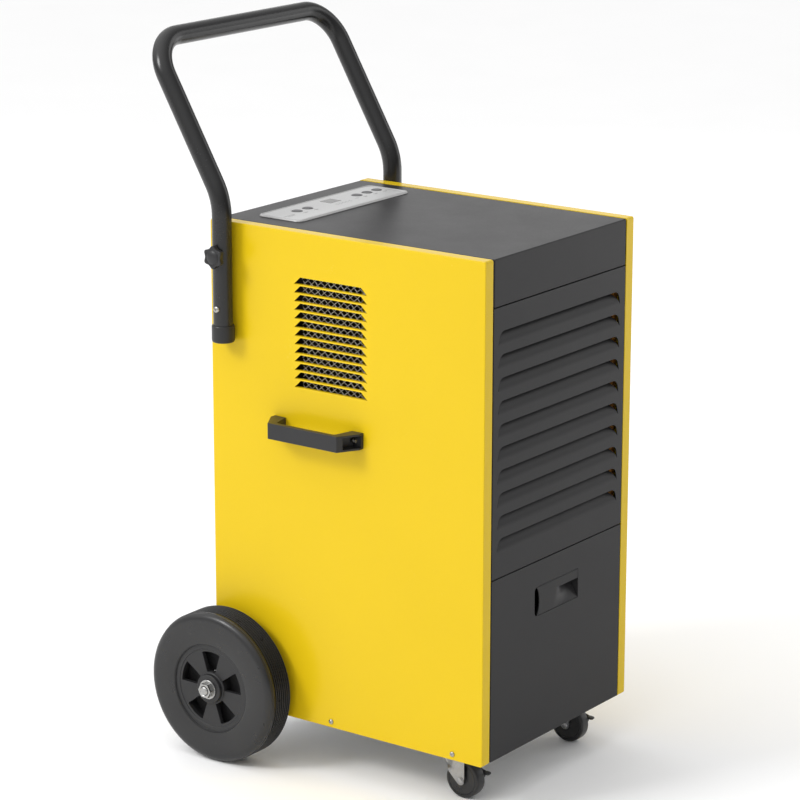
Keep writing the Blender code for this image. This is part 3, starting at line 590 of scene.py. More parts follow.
def piece(name, build, mats, body, nodes=(), sharp=32.0, bevel=0.0, seg=2, weight=True, cuts=()):
    """Builds one visible piece, rides it on its body and hides the model parts it stands for."""
    if isinstance(mats, str):
        mats = (mats,)
    bm = bmesh.new()
    build(bm)
    ob = to_object(name, bm, mats, sharp)
    for k, cutter in enumerate(cuts):
        carve(ob, cutter, sharp)
    if bevel:
        mod = ob.modifiers.new("edge", "BEVEL")
        mod.width, mod.segments, mod.limit_method = bevel * MM, seg, "ANGLE"
        mod.angle_limit = math.radians(sharp)
        mod.harden_normals = True
    if weight:
        mod = ob.modifiers.new("weighted", "WEIGHTED_NORMAL")
        mod.keep_sharp, mod.weight = True, 60
    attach(ob, body)
    if nodes:
        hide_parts(*nodes)
    return ob


def carve(ob, cutter, sharp, operation="DIFFERENCE"):
    bm = bmesh.new()
    cutter(bm)
    tool = to_object("tool", bm, (), 30.0)
    mod = ob.modifiers.new("cut", "BOOLEAN")
    mod.operation, mod.solver, mod.object = operation, "EXACT", tool
    bpy.context.view_layer.update()
    made = bpy.data.meshes.new_from_object(ob.evaluated_get(bpy.context.evaluated_depsgraph_get()))
    ob.modifiers.remove(mod)
    old = ob.data
    made.name = ob.name
    ob.data = made
    bpy.data.meshes.remove(old)
    bpy.data.objects.remove(tool, do_unlink=True)
    made.shade_smooth()
    made.set_sharp_from_angle(angle=math.radians(sharp))


def paint(ob, index, test):
    """Gives the faces that pass the test another of the piece's materials."""
    for p in ob.data.polygons:
        if test(p.center / MM, p.normal):
            p.material_index = index


# --------------------------------------------------------------------- camera
yaw, pitch, roll = math.radians(54.0512), math.radians(14.8115), math.radians(0.1144)
look = Vector((math.sin(yaw) * math.cos(pitch), math.cos(yaw) * math.cos(pitch), -math.sin(pitch)))
right = Vector((math.cos(yaw), -math.sin(yaw), 0.0))
up = right.cross(look)
right, up = right * math.cos(roll) + up * math.sin(roll), up * math.cos(roll) - right * math.sin(roll)
cam_data = bpy.data.cameras.new("camera")
cam_data.lens, cam_data.sensor_width, cam_data.sensor_fit = 140.970, 36.0, "HORIZONTAL"
cam_data.shift_x, cam_data.shift_y = -0.01603, -0.02867
cam_data.clip_start, cam_data.clip_end = 0.1, 60.0
camera = bpy.data.objects.new("camera", cam_data)
bpy.context.scene.collection.objects.link(camera)
camera.matrix_world = Matrix((
    (right.x, up.x, -look.x, -3.19597),
    (right.y, up.y, -look.y, -2.34931),
    (right.z, up.z, -look.z, 1.54650),
    (0.0, 0.0, 0.0, 1.0)))
bpy.context.scene.camera = camera


# ---------------------------------------------------------- side panels, left/right
HALF_W, FRONT_Y, REAR_Y, BASE_Z, TOP_Z, FLANGE = 167.5, -261.2, 168.0, 66.0, 717.0, 16.5
VENTS, VENT_TOP, VENT_PITCH, VENT_H = 13, 659.3, 11.22, 9.3
VENT_Y, VENT_A, VENT_B = -25.2, 48.0, 57.7
WHEEL_Y, WHEEL_Z = 134.5, 101.6
LEG_Y, PIVOT_Z, KNOB_Z = 136.0, 607.0, 676.0
SCREW_YS, SCREW_Z = (-216.0, -23.7), 74.5


def build_side_panel(side, s):
    def place(u, v, h):
        return (s * (HALF_W + h), u, v)

    def slots(bm):
        """Punched slots whose lower edge is folded in as a lip."""
        lip = [(1.1 - 1.1 * math.sin(a), -1.1 + 1.1 * math.cos(a)) for a in [math.pi / 2 * k / 4 for k in range(5)]]
        lip += [(0.0, -5.3), (0.12, -5.52), (0.4, -5.6), (0.68, -5.52), (0.8, -5.3), (0.8, -1.65), (0.92, -1.34), (1.25, -1.2)]
        slope = (VENT_B - VENT_A) / VENT_H
        for i in range(VENTS):
            top = VENT_TOP - VENT_PITCH * i
            low = top - VENT_H
            rows = []
            for d, h in lip:
                w = VENT_B + slope * d
                rows.append((bm.verts.new(place(VENT_Y - w, low - d, h)), bm.verts.new(place(VENT_Y + w, low - d, h))))
            tf = [bm.verts.new(place(VENT_Y + k * VENT_A, top, 0.0)) for k in (-1, 1)]
            tb = [bm.verts.new(place(VENT_Y + k * VENT_A, top, -1.2)) for k in (-1, 1)]
            for a, b in zip(rows, rows[1:]):
                bm.faces.new((a[0], a[1], b[1], b[0]))
            for k in (0, 1):
                bm.faces.new([r[k] for r in rows])
                bm.faces.new((rows[0][k], tf[k], tb[k], rows[-1][k]))
            bm.faces.new((tf[0], tf[1], tb[1], tb[0]))
            yield ([rows[0][0], rows[0][1], tf[1], tf[0]], [rows[-1][0], rows[-1][1], tb[1], tb[0]])

    def build(bm):
        outline = fillet([(FRONT_Y, BASE_Z), (REAR_Y, BASE_Z), (REAR_Y, TOP_Z), (FRONT_Y, TOP_Z)], 3.0, 4)
        holes = [(circle(y, SCREW_Z, 2.3, 20), 0.2) for y in SCREW_YS]
        holes += [(circle(WHEEL_Y, WHEEL_Z, 8.4, 32), 0.2), (circle(LEG_Y, PIVOT_Z, 2.9, 20), 0.2)]
        shell(bm, outline, place, (s, 0, 0), 1.25, FLANGE, 1.2, holes, slots, hem=0.3)
    piece(f"side_panel_{side}_skin", build, "yellow", CABINET, (f"side_panel_{side}",), sharp=40)


def cross_recess(bm, axis, centre, profile, recess_r, depth, seg=48, sgn=1):
    """A turned screw head with a cross recess; profile ends at the recess rim."""
    def arms(scale):
        def r(t):
            c = abs(math.cos(2 * t)) ** 3.0
            return recess_r * scale * (0.30 + 0.70 * c)
        return r
    top = profile[-1][1]
    rows = list(profile[:-1]) + [(arms(1.0), top), (arms(0.72), top - sgn * depth * 0.8), (0, top - sgn * depth)]
    turn(bm, rows, axis, centre, seg, closed=False)


for side, s in SIDES:
    build_side_panel(side, s)
    for label, y in zip(("front", "rear"), SCREW_YS):
        prof = [(0, s * 160.0), (2.0, s * 160.0), (2.0, s * 167.75), (3.4, s * 167.75), (3.5, s * 168.1), (3.25, s * 168.9),
                (2.7, s * 169.5), (1.9, s * 169.85), (1.5, s * 169.95)]
        piece(f"panel_screw_{side}_{label}_head",
              lambda bm, prof=prof, y=y, s=s: cross_recess(bm, "X", (y, SCREW_Z), prof, 1.45, 1.1, 32, s),
              "steel", CABINET, (f"panel_screw_{side}_{label}",), sharp=50)


# ------------------------------------------------------------------- vent mesh
def wires(bm, s):
    """Woven diamond mesh: two families of crimped wire."""
    y0, y1, z0, z1, pitch = -93.0, 24.5, 506.0, 667.0, 10.3
    slope = 4.8 / 5.8
    seg = 6
    for fam, r in ((1, 0.55), (-1, 0.42)):
        for k in range(-40, 60):
            start = y0 + pitch * k
            pts, t = [], 0.0
            steps = int((z1 - z0) / (pitch * slope / 2)) * 4
            for i in range(steps + 1):
                z = z0 + (z1 - z0) * i / steps
                y = start - fam * (z - z0) / slope if fam == 1 else start + (z - z0) / slope - 196.0
                if y0 <= y <= y1:
                    phase = math.pi * (z - z0) / (pitch * slope / 2)
                    pts.append((s * (160.5 + 0.42 * math.cos(phase + (0 if fam == 1 else math.pi) + math.pi * k)), y, z))
            if len(pts) > 5:
                sweep(bm, pts, r, seg)


def mesh_frame(bm, s):
    def place(u, v, h):
        return (s * (161.3 + h), u, v)
    outer = fillet([(-97.0, 502.0), (44.0, 502.0), (44.0, 671.0), (-97.0, 671.0)], 3.0, 3)
    inner = fillet([(-90.0, 509.0), (40.0, 509.0), (40.0, 664.0), (-90.0, 664.0)], 2.0, 3)
    slab(bm, outer, place, (s, 0, 0), 1.6, 0.3, 0.2, [inner])


for side, s in SIDES:
    piece(f"vent_mesh_{side}_wires", lambda bm, s=s: wires(bm, s), "wire", CABINET, (f"vent_mesh_{side}",),
          sharp=60, weight=False)
    piece(f"vent_mesh_{side}_frame", lambda bm, s=s: mesh_frame(bm, s), "galv", CABINET, ())


# ------------------------------------------------------------------- top cover
EDGE_X, EDGE_L = 150.2, 148.6
BEZEL = (-118.5, 121.5, 60.5, 131.0)
BUTTON_XS, BUTTON_Y, BUTTON_R = (-71.0, -48.6, 57.4, 79.9, 101.2), 102.2, 7.0
DISPLAY = (-6.0, 18.0, 97.0, 116.0)


def rounded(x0, x1, y0, y1, r, steps=6):
    return fillet([(x0, y0), (x1, y0), (x1, y1), (x0, y1)], r, steps)


def top_cover(bm):
    outline = fillet([(-EDGE_L, -260.9), (EDGE_X, -260.9), (EDGE_X, 165.9), (-EDGE_L, 165.9)], 2.2, 4)
    shell(bm, outline, lambda u, v, h: (u, v, 716.5 + h), (0, 0, 1), 1.7, 60.1, 1.3,
          [(rounded(-113.5, 116.0, 66.0, 122.0, 6.0), 0.2)], hem=0.5)


piece("top_cover_skin", top_cover, "dark", CABINET, ("top_cover",), sharp=40)


# --------------------------------------------------------------- louvre panel
LOUVRES, LOUVRE_TOP, LOUVRE_PITCH, LOUVRE_DROP = 10, 624.4, 29.5, 18.3
FRONT = -260.9


def louvre_panel(bm):
    def place(u, v, h):
        return (u, FRONT - h, v)

    levels = [0.0, 1.6, 3.2, 4.8, 6.4, 8.2, 10.0, 11.8, 13.4, 14.8, 16.0, 16.9, 17.6, 18.0, 18.2]
    widths = [138.0, 137.7, 137.4, 137.1, 136.8, 136.4, 135.9, 135.2, 134.3, 133.1, 131.7, 130.1, 128.4, 126.7, 125.0]
    cols = 26
    kerf, sheet = 0.45, 1.2
    max_angle, r_bend = math.radians(36.0), 15.0

    def fold(s_, off):
        """Place of a point s_ up the flap and off behind its face: (z, depth)."""
        ang = min(s_ / r_bend, max_angle)
        z = r_bend * math.sin(ang) + max(0.0, s_ - r_bend * max_angle) * math.cos(max_angle)
        d = r_bend * (1 - math.cos(ang)) + max(0.0, s_ - r_bend * max_angle) * math.sin(max_angle)
        return z - off * math.sin(ang), d + off * math.cos(ang)

    def cuts(bm):
        for i in range(LOUVRES):
            top = LOUVRE_TOP - LOUVRE_PITCH * i
            low = top - LOUVRE_DROP
            us = [-1 + 2 * k / cols for k in range(cols + 1)]
            crease_f = [bm.verts.new((u * widths[0], FRONT, low)) for u in us]
            crease_b = [bm.verts.new((u * widths[0], FRONT + sheet, low)) for u in us]
            # the opening's own edge: right side up, top edge, left side down
            path = [(w + kerf * min(1.0, k / 2), low + lv) for k, (w, lv) in enumerate(zip(widths, levels))][1:]
            chain = [(w, z) for w, z in path] + [(-w, z) for w, z in reversed(path)]
            wall_f = [bm.verts.new((x, FRONT, z)) for x, z in chain]
            wall_b = [bm.verts.new((x, FRONT + sheet, z)) for x, z in chain]
            seq_f = [crease_f[-1]] + wall_f + [crease_f[0]]
            seq_b = [crease_b[-1]] + wall_b + [crease_b[0]]
            join(bm, seq_f, seq_b, closed=False)
            # the flap, folded in about the crease
            prev_f, prev_b = crease_f, crease_b
            for w, lv in [(w - 6.5 * (lv / 18.2) ** 1.3, lv) for w, lv in zip(widths, levels)][1:]:
                zf, df = fold(lv, 0.0)
                zb, db = fold(lv, sheet)
                row_f = [bm.verts.new((u * w, FRONT + df, low + zf)) for u in us]
                row_b = [bm.verts.new((u * w, FRONT + db, low + zb)) for u in us]
                join(bm, prev_f, row_f, closed=False)
                join(bm, prev_b, row_b, closed=False)
                for k in (0, -1):
                    bm.faces.new((prev_f[k], row_f[k], row_b[k], prev_b[k]))
                prev_f, prev_b = row_f, row_b
            join(bm, prev_f, prev_b, closed=False)
            yield (crease_f + wall_f, crease_b + wall_b)

    outline = fillet([(-EDGE_L, 308.0), (EDGE_X, 308.0), (EDGE_X, 655.0), (-EDGE_L, 655.0)], 1.4, 3)
    shell(bm, outline, place, (0, -1, 0), 0.7, 9.0, sheet, (), cuts, hem=0.3)


piece("louvre_panel_skin", louvre_panel, "dark", CABINET, ("louvre_panel",), sharp=40)


# Orange-brown strips just behind the louvre ends: painted shade of the yellow side panel's inside, seen through the
# open ends
def louvre_end_shade_strips(bm):
    for s in (-1, 1):
        box(bm, s * 137.5, s * 146.5, -251.0, -247.5, 316.0, 648.0)


piece("louvre_end_painted_shade_strips", louvre_end_shade_strips, "seal", CABINET, (), bevel=0.6)


# ------------------------------------------------------------------ rear panel
def rear_panel(bm):
    outline = fillet([(-EDGE_L, 70.0), (EDGE_X, 70.0), (EDGE_X, 655.3), (-EDGE_L, 655.3)], 1.8, 3)
    holes = [circle(105.0, 205.0, 9.2, 32)]
    slab(bm, outline, lambda u, v, h: (u, 165.9 + h, v), (0, 1, 0), 1.5, 0.7, 0.3, holes, r_hole=0.3)


piece("rear_panel_skin", rear_panel, "dark", CABINET, ("rear_panel",), sharp=40)


def rear_beads(bm):
    """Two long pressed stiffening beads on the rear panel."""
    for x in (-88.0, 88.0):
        n, half, height = 30, 7.0, 1.6
        front, back = [], []
        z0, z1 = (300.0, 600.0)
        for i in range(n + 1):
            z = z0 + (z1 - z0) * i / n
            end = min(1.0, min(z - z0, z1 - z) / 14.0)
            end = math.sqrt(max(0.0, 1 - (1 - end) ** 2))
            row_f, row_b = [], []
            for j in range(13):
                q = -1 + j / 6
                row_f.append((x + half * q * (0.35 + 0.65 * end), 165.8 + height * end * (1 - q * q) ** 0.8 + 0.02, z))
                row_b.append((x + half * q * (0.35 + 0.65 * end), 165.2, z))
            front.append(row_f)
            back.append(row_b)
        grid_solid(bm, front, back)


piece("rear_panel_beads", rear_beads, "dark", CABINET, (), sharp=50)


def rear_screws(bm):
    for x in (-141.0, 141.0):
        for z in (84.0, 222.0, 360.0, 500.0, 640.0):
            prof = [(0, 164.0), (1.6, 164.0), (1.6, 165.95), (3.6, 165.95), (3.7, 166.3), (3.3, 167.1), (2.4, 167.7), (1.7, 167.9)]
            cross_recess(bm, "Y", (x, z), prof, 1.6, 1.0, 32, 1)


piece("rear_panel_screws", rear_screws, "steel", CABINET, (), sharp=50)


def rating_plate(bm):
    slab(bm, rounded(-40.0, 40.0, 112.0, 162.0, 3.0), lambda u, v, h: (u, 166.3 + h, v), (0, 1, 0), 0.35, 0.12, 0.1)


piece("blank_plate", rating_plate, "bezel", CABINET, ())


def gland(bm):
    lathe(bm, [(5.0, 150.0), (9.0, 150.0), (9.0, 166.3), (14.0, 166.3), (14.0, 171.5), (10.5, 173.0), (8.0, 184.0), (5.0, 184.0)],
          [0, 0.8, 0, 0.6, 1.5, 1.2, 1.2, 1.0], "Y", (105.0, 205.0), 40)
    for k in range(4):
        z = 174.6 + 2.3 * k
        r = 10.3 - 0.22 * (z - 173.0)
        turn(bm, [(r - 1.6, z), (r + 0.35, z), (r + 0.45, z + 0.55), (r + 0.30, z + 1.1), (r - 1.6, z + 1.1)], "Y", (105.0, 205.0), 40)


piece("power_inlet_gland_body", gland, "plastic", CABINET, ("power_inlet_gland",))


# --------------------------------------------------------------- control panel
def bezel(bm):
    """A raised frame round a recessed flat that carries the overlay."""
    outline = ccw(rounded(*BEZEL, 9.5, 8))
    def place(u, v, h):
        return (u, v, 716.75 + h)
    prof = [(0.6, 0.0), (0.0, 0.0), (0.0, 0.5), (0.25, 1.0), (0.9, 1.75), (1.7, 2.3), (2.3, 2.45), (2.9, 2.35), (3.3, 2.0),
            (3.55, 1.6), (3.9, 1.5)]
    rings = [ring(bm, offset(outline, i), place, h) for i, h in prof]
    for a, b in zip(rings, rings[1:]):
        join(bm, a, b)
    top, low = [rings[-1]], [rings[0]]
    holes = [circle(x, BUTTON_Y, BUTTON_R + 0.55, 36) for x in BUTTON_XS]
    holes.append([(DISPLAY[0] - 0.4, DISPLAY[2] - 0.4), (DISPLAY[1] + 0.4, DISPLAY[2] - 0.4),
                  (DISPLAY[1] + 0.4, DISPLAY[3] + 0.4), (DISPLAY[0] - 0.4, DISPLAY[3] + 0.4)])
    for loop in holes:
        a, b = ring(bm, loop, place, 1.5), ring(bm, loop, place, 0.0)
        join(bm, a, b)
        top.append(a)
        low.append(b)
    fill(bm, top, (0, 0, 1))
    fill(bm, low, (0, 0, -1))


piece("control_bezel_frame", bezel, "bezel", CABINET, ("control_bezel",), sharp=45)


def overlay(bm):
    """The film on the panel, which ends in a curve beyond the last button; the darker bezel left bare past that curve
    is a painted reflection of the right handle leg.
    """
    # x1 and the larger right-hand corner radii leave a curved patch of darker bezel bare: painted reflection of the
    # handle leg
    x0, x1, y0, y1 = BEZEL[0] + 4.6, BEZEL[1] - 10.5, BEZEL[2] + 4.6, BEZEL[3] - 4.6
    outline = fillet([(x0, y0), (x1, y0), (x1, y1), (x0, y1)], [5.0, 12.0, 12.0, 5.0], 6)
    holes = [circle(x, BUTTON_Y, BUTTON_R + 0.75, 36) for x in BUTTON_XS]
    holes.append(rounded(DISPLAY[0] - 0.3, DISPLAY[1] + 0.3, DISPLAY[2] - 0.3, DISPLAY[3] + 0.3, 0.8, 2))
    slab(bm, outline, lambda u, v, h: (u, v, 718.75 + h), (0, 0, 1), 0.42, 0.15, 0.1, holes, 2)


piece("control_overlay", overlay, "film", CABINET, ())


def marks(bm):
    """Small generic indicators: dots, bars and dashes, no lettering."""
    def dot(x, y, r):
        slab(bm, circle(x, y, r, 16), lambda u, v, h: (u, v, 718.86 + h), (0, 0, 1), 0.09, 0.03, 0.02, (), 1)

    def bar(x, y, w, d):
        slab(bm, rounded(x - w / 2, x + w / 2, y - d / 2, y + d / 2, min(w, d) * 0.3, 2),
             lambda u, v, h: (u, v, 718.86 + h), (0, 0, 1), 0.09, 0.03, 0.02, (), 1)
    for x in BUTTON_XS:
        bar(x, 88.5, 9.0, 0.9)
        bar(x, 86.6, 5.5, 0.8)
    for k, x in enumerate((-6.0, 1.0, 8.0, 15.0, 22.0)):
        dot(x, 88.0, 1.15)
        bar(x, 84.6, 3.6, 0.8)
    bar(-100.0, 92.0, 22.0, 1.1)
    bar(-100.0, 88.4, 15.0, 0.9)
    bar(42.0, 90.0, 9.0, 0.9)


piece("overlay_marks", marks, "ink", CABINET, ())


def display(bm):
    slab(bm, rounded(DISPLAY[0], DISPLAY[1], DISPLAY[2], DISPLAY[3], 0.7, 3), lambda u, v, h: (u, v, 718.7 + h), (0, 0, 1),
         2.6, 0.25, 0.1)


piece("display_window_lens", display, "lens", CABINET, ("display_window",))

for i, x in enumerate(BUTTON_XS):
    def button(bm, x=x):
        turn(bm, [(0, 703.0), (4.0, 703.0), (4.0, 708.0), (6.9, 708.0), (BUTTON_R, 708.3), (BUTTON_R, 718.3), (6.9, 718.9),
                  (6.5, 719.35), (5.8, 719.5), (4.6, 719.4), (2.6, 719.15), (0, 719.05)], "Z", (x, BUTTON_Y), 36, closed=False)
    piece(f"button_{i + 1}_cap", button, "button", f"key_{i + 1}", (f"button_{i + 1}",), sharp=50)


# ------------------------------------------------------------------- side grips
GRIP_Z0, GRIP_Z1, GRIP_OUT = 451.8, 472.8, 35.7
FEET, BAR = (-77.0, 65.0), (-61.0, 49.0)


def grip_outline(s):
    p, o = HALF_W + 0.3, HALF_W + GRIP_OUT
    f0, f1 = FEET
    b0, b1 = BAR
    pts = [(p, f0), (p + 8.5, f0), (o, b0), (o, b1), (p + 8.5, f1), (p, f1),
           (p, f1 - 18), (o - 7.5, b1 - 9.0), (o - 7.5, b0 + 9.0), (p, f0 + 18)]
    rad = [0.3, 1.6, 1.6, 1.6, 1.6, 0.3, 0.8, 4.0, 4.0, 0.8]
    return [(s * a, b) for a, b in fillet(pts, rad, 4)]


def pocket(s, end):
    f, b, d = (FEET[0], BAR[0], 1) if end == 0 else (FEET[1], BAR[1], -1)
    p, o = HALF_W + 0.3, HALF_W + GRIP_OUT
    pts = [(p + 4.5, f - d * 6.0), (p + 4.5, f + d * 14.0), (o - 13, b + d * 7.5), (o - 5.0, b - d * 9.0)]
    return [(s * a, y) for a, y in fillet(pts, [0, 1.5, 1.5, 0], 3)]


for side, s in SIDES:
    def build(bm, s=s):
        slab(bm, grip_outline(s), lambda u, v, h: (u, v, GRIP_Z1 + h), (0, 0, 1), GRIP_Z1 - GRIP_Z0, 0.8, 0.8)

    def hollow(bm, s=s):
        for e in (0, 1):
            loop = ccw(pocket(s, e))
            a = ring(bm, loop, lambda u, v, h: (u, v, h), GRIP_Z0 + 2.6)
            b = ring(bm, loop, lambda u, v, h: (u, v, h), GRIP_Z1 - 2.6)
            join(bm, a, b)
            bm.faces.new(a)
            bm.faces.new(list(reversed(b)))
    piece(f"side_grip_{side}_bow", build, "plastic", CABINET, (f"side_grip_{side}",), cuts=(hollow,), sharp=38)

    def grip_screws(bm, s=s):
        for y in (FEET[0] + 10.0, FEET[1] - 10.0):
            x0 = HALF_W + 4.9
            prof = [(0, s * (x0 - 2.0)), (3.9, s * (x0 - 2.0)), (4.0, s * (x0 + 2.6)), (3.6, s * (x0 + 3.3)), (2.3, s * (x0 + 3.4))]
            hexr = lambda t: 1.75 / math.cos((t % (math.pi / 3)) - math.pi / 6)
            turn(bm, prof + [(hexr, s * (x0 + 3.3)), (hexr, s * (x0 + 0.9)), (0, s * (x0 + 0.6))], "X",
                 (y, (GRIP_Z0 + GRIP_Z1) / 2), 36, closed=False)
    piece(f"side_grip_{side}_screws", grip_screws, "steel", CABINET, (), sharp=40)


# -------------------------------------------------------------------- handle
TUBE_R, TUBE_X = 12.7, 182.9
BEND_Z, BAR_Y, BAR_Z, BEND_RS, LEG_BOTTOM = 748.7, 248.6, 941.7, (80.0, 50.0, 50.0, 80.0), 566.3


def tube(bm):
    x, y = TUBE_X, LEG_Y
    path = bend([(-x, y, LEG_BOTTOM), (-x, y, BEND_Z), (-x, BAR_Y, BAR_Z), (x, BAR_Y, BAR_Z), (x, y, BEND_Z), (x, y, LEG_BOTTOM)],
                BEND_RS, 18)
    sweep(bm, path, TUBE_R, 48, TUBE_R - 1.5)


piece("handle_tube_bow", tube, "tube", HANDLE, ("handle_tube",), sharp=40)

for side, s in SIDES:
    def cap(bm, s=s):
        lathe(bm, [(0, 562.6), (14.2, 562.6), (14.95, 565.6), (14.95, 583.4), (14.2, 584.6), (12.95, 584.6), (12.95, 566.0), (0, 566.0)],
              [0, 1.6, 1.0, 0.8, 0.3, 0.15, 0, 0], "Z", (s * TUBE_X, LEG_Y), 56, 4, closed=False)
    piece(f"handle_end_cap_{side}_cup", cap, "plastic", HANDLE, (f"handle_end_cap_{side}",), sharp=45)

    prof = [(0, s * 160.0), (2.5, s * 160.0), (2.5, s * 195.3), (4.2, s * 195.3), (4.35, s * 195.7), (4.2, s * 196.7), (3.6, s * 197.6),
            (2.7, s * 198.2), (2.1, s * 198.35)]
    piece(f"pivot_screw_{side}_head", lambda bm, prof=prof, s=s: cross_recess(bm, "X", (LEG_Y, PIVOT_Z), prof, 2.0, 1.6, 48, s),
          "steel", CABINET, (f"pivot_screw_{side}",), sharp=50)

    def knob(bm, s=s):
        def star(base, amp):
            return lambda t: base + amp * math.cos(6 * (t - math.pi / 2)) + 0.12 * math.cos(12 * (t - math.pi / 2))
        prof = [(0, 168.0), (2.6, 168.0), (3.0, 168.5), (3.0, 195.2), (7.6, 195.4), (7.8, 196.3),
                (star(12.6, 1.2), 196.3), (star(13.3, 1.4), 196.5), (star(13.6, 1.45), 197.0),
                (star(13.6, 1.45), 202.2), (star(13.4, 1.42), 202.8), (star(12.9, 1.3), 203.1), (star(12.2, 1.1), 203.2),
                (10.4, 203.1), (9.9, 202.8), (9.5, 202.8), (9.1, 203.2), (8.4, 203.9), (6.9, 204.6), (4.8, 205.1), (2.4, 205.35), (0, 205.4)]
        turn(bm, [(r, s * a) for r, a in prof], "X", (LEG_Y, KNOB_Z), 96, closed=False)
    piece(f"star_knob_{side}_body", knob, "plastic", f"knob_{side}", (f"star_knob_{side}",), sharp=45)


# -------------------------------------------------------------- wheels and axle
def axle(bm):
    lathe(bm, [(0, -236.5), (4.6, -236.5), (6.0, -235.0), (6.0, -225.9), (8.0, -225.5), (8.0, 225.5), (6.0, 225.9), (6.0, 235.0),
               (4.6, 236.5), (0, 236.5)], [0, 0.8, 0.6, 0, 0, 0, 0, 0.6, 0.8, 0], "X", (WHEEL_Y, WHEEL_Z), 40, 3, closed=False)


piece("wheel_axle_rod", axle, "nut", CABINET, ("wheel_axle",), sharp=45)

GROOVES = 8


def tyre_profile():
    pts = [(60.3, 181.5), (60.3, 222.5), (62.0, 223.0), (90.5, 223.0)]
    for k in range(1, 9):
        a = math.pi / 2 * k / 9
        pts.append((90.5 + 10.3 * math.sin(a), 216.0 + 7.0 * math.cos(a)))
    pts += [(100.9, 215.6), (101.45, 215.3), (101.6, 214.8)]
    first, last = 210.6, 183.6
    step = (first - last) / (GROOVES - 1)
    for k in range(GROOVES):
        c = first - step * k
        pts += [(101.2, c + 1.1), (100.5, c + 0.95), (99.5, c + 0.75), (99.3, c), (99.5, c - 0.75), (100.5, c - 0.95), (101.2, c - 1.1),
                (101.6, c - step / 2)]
    pts += [(101.0, 181.0), (100.4, 180.2), (99.0, 179.6), (96.0, 179.05), (64.0, 179.05), (62.0, 179.6)]
    return pts


def hub_profile():
    pts = [(8.4, 183.5), (19.3, 183.5), (19.3, 213.5), (53.0, 213.5), (53.0, 183.5), (60.0, 183.5), (60.0, 222.3),
           (59.2, 222.3), (58.7, 220.6), (53.3, 220.6), (52.6, 219.7), (20.6, 219.7), (19.5, 221.0), (19.5, 226.0), (8.4, 226.0)]
    rad = [0, 0.5, 1.5, 1.5, 0.5, 0.4, 0.2, 0.3, 0.5, 0.3, 0.3, 1.2, 0.5, 1.3, 0.4]
    return fillet(pts, rad, 3)


for side, s in SIDES:
    piece(f"tyre_{side}_rubber", lambda bm, s=s: turn(bm, [(r, s * a) for r, a in tyre_profile()], "X", (WHEEL_Y, WHEEL_Z), 160),
          "tyre", f"wheel_{side}", (f"tyre_{side}",), sharp=38, weight=False)

    def windows(bm, s=s):
        for k in range(5):
            mid = math.radians(90 + 72 * k)
            half = math.radians(17.2)
            outer = [(49.5, mid + half * (-1 + 2 * i / 12)) for i in range(13)]
            inner = [(22.0, mid + half * (1 - 2 * i / 6)) for i in range(7)]
            loop = [(WHEEL_Y + r * math.cos(t), WHEEL_Z + r * math.sin(t)) for r, t in outer + inner]
            n_out = len(outer)
            rads = [0.0] * len(loop)
            for q in (0, n_out - 1, n_out, len(loop) - 1):
                rads[q] = 1.2
            loop = ccw(fillet(loop, rads, 3))
            a = ring(bm, loop, lambda u, v, h: (h, u, v), s * 205.0)
            b = ring(bm, loop, lambda u, v, h: (h, u, v), s * 232.0)
            join(bm, a, b)
            bm.faces.new(a)
            bm.faces.new(list(reversed(b)))
    piece(f"wheel_hub_{side}_moulding", lambda bm, s=s: turn(bm, [(r, s * a) for r, a in hub_profile()], "X", (WHEEL_Y, WHEEL_Z), 120),
          "hub", f"wheel_{side}", (f"wheel_hub_{side}",), sharp=35, cuts=(windows,), bevel=0.35)

    def hub_inner(bm, s=s):
        turn(bm, [(19.6, s * 199.0), (52.7, s * 199.0), (52.7, s * 201.5), (19.6, s * 201.5)], "X", (WHEEL_Y, WHEEL_Z), 80)
        for k in range(5):
            t = math.radians(126 + 72 * k)
            u, n = Vector((0, math.cos(t), math.sin(t))), Vector((0, -math.sin(t), math.cos(t)))
            c = Vector((0, WHEEL_Y, WHEEL_Z))
            lo, hi = [], []
            for x, row in ((s * 201.3, lo), (s * 213.4, hi)):
                for a, b in ((19.0, -1.6), (53.2, -1.6), (53.2, 1.6), (19.0, 1.6)):
                    row.append(bm.verts.new(c + u * a + n * b + Vector((x, 0, 0))))
            bm.faces.new(lo)
            bm.faces.new(hi)
            join(bm, lo, hi)
    piece(f"wheel_hub_{side}_ribs", hub_inner, "hub_back", f"wheel_{side}", (), sharp=40)

    def nut(bm, s=s):
        def hexa(scale=1.0):
            return lambda t: scale * 9.0 / math.cos((t % (math.pi / 3)) - math.pi / 6)

        def cut_hex(limit):
            return lambda t: min(limit, 9.0 / math.cos((t % (math.pi / 3)) - math.pi / 6))
        turn(bm, [(6.35, s * 226.35), (12.5, s * 226.35), (13.0, s * 226.6), (13.0, s * 227.7), (12.6, s * 227.95), (6.35, s * 227.95)],
             "X", (WHEEL_Y, WHEEL_Z), 72)
        turn(bm, [(6.35, s * 228.05), (cut_hex(9.4), s * 228.05), (cut_hex(9.9), s * 228.4), (hexa(), s * 229.0), (hexa(), s * 233.6),
                  (cut_hex(9.9), s * 234.2), (cut_hex(9.2), s * 234.5), (7.0, s * 234.5), (6.35, s * 234.0)], "X", (WHEEL_Y, WHEEL_Z), 72)
    piece(f"axle_nut_{side}_set", nut, "nut", CABINET, (f"axle_nut_{side}",), sharp=30)


# ------------------------------------------------------------------- casters
CX, KING_Y, CW_Y, CW_Z = 121.8, -182.9, -204.9, 25.0


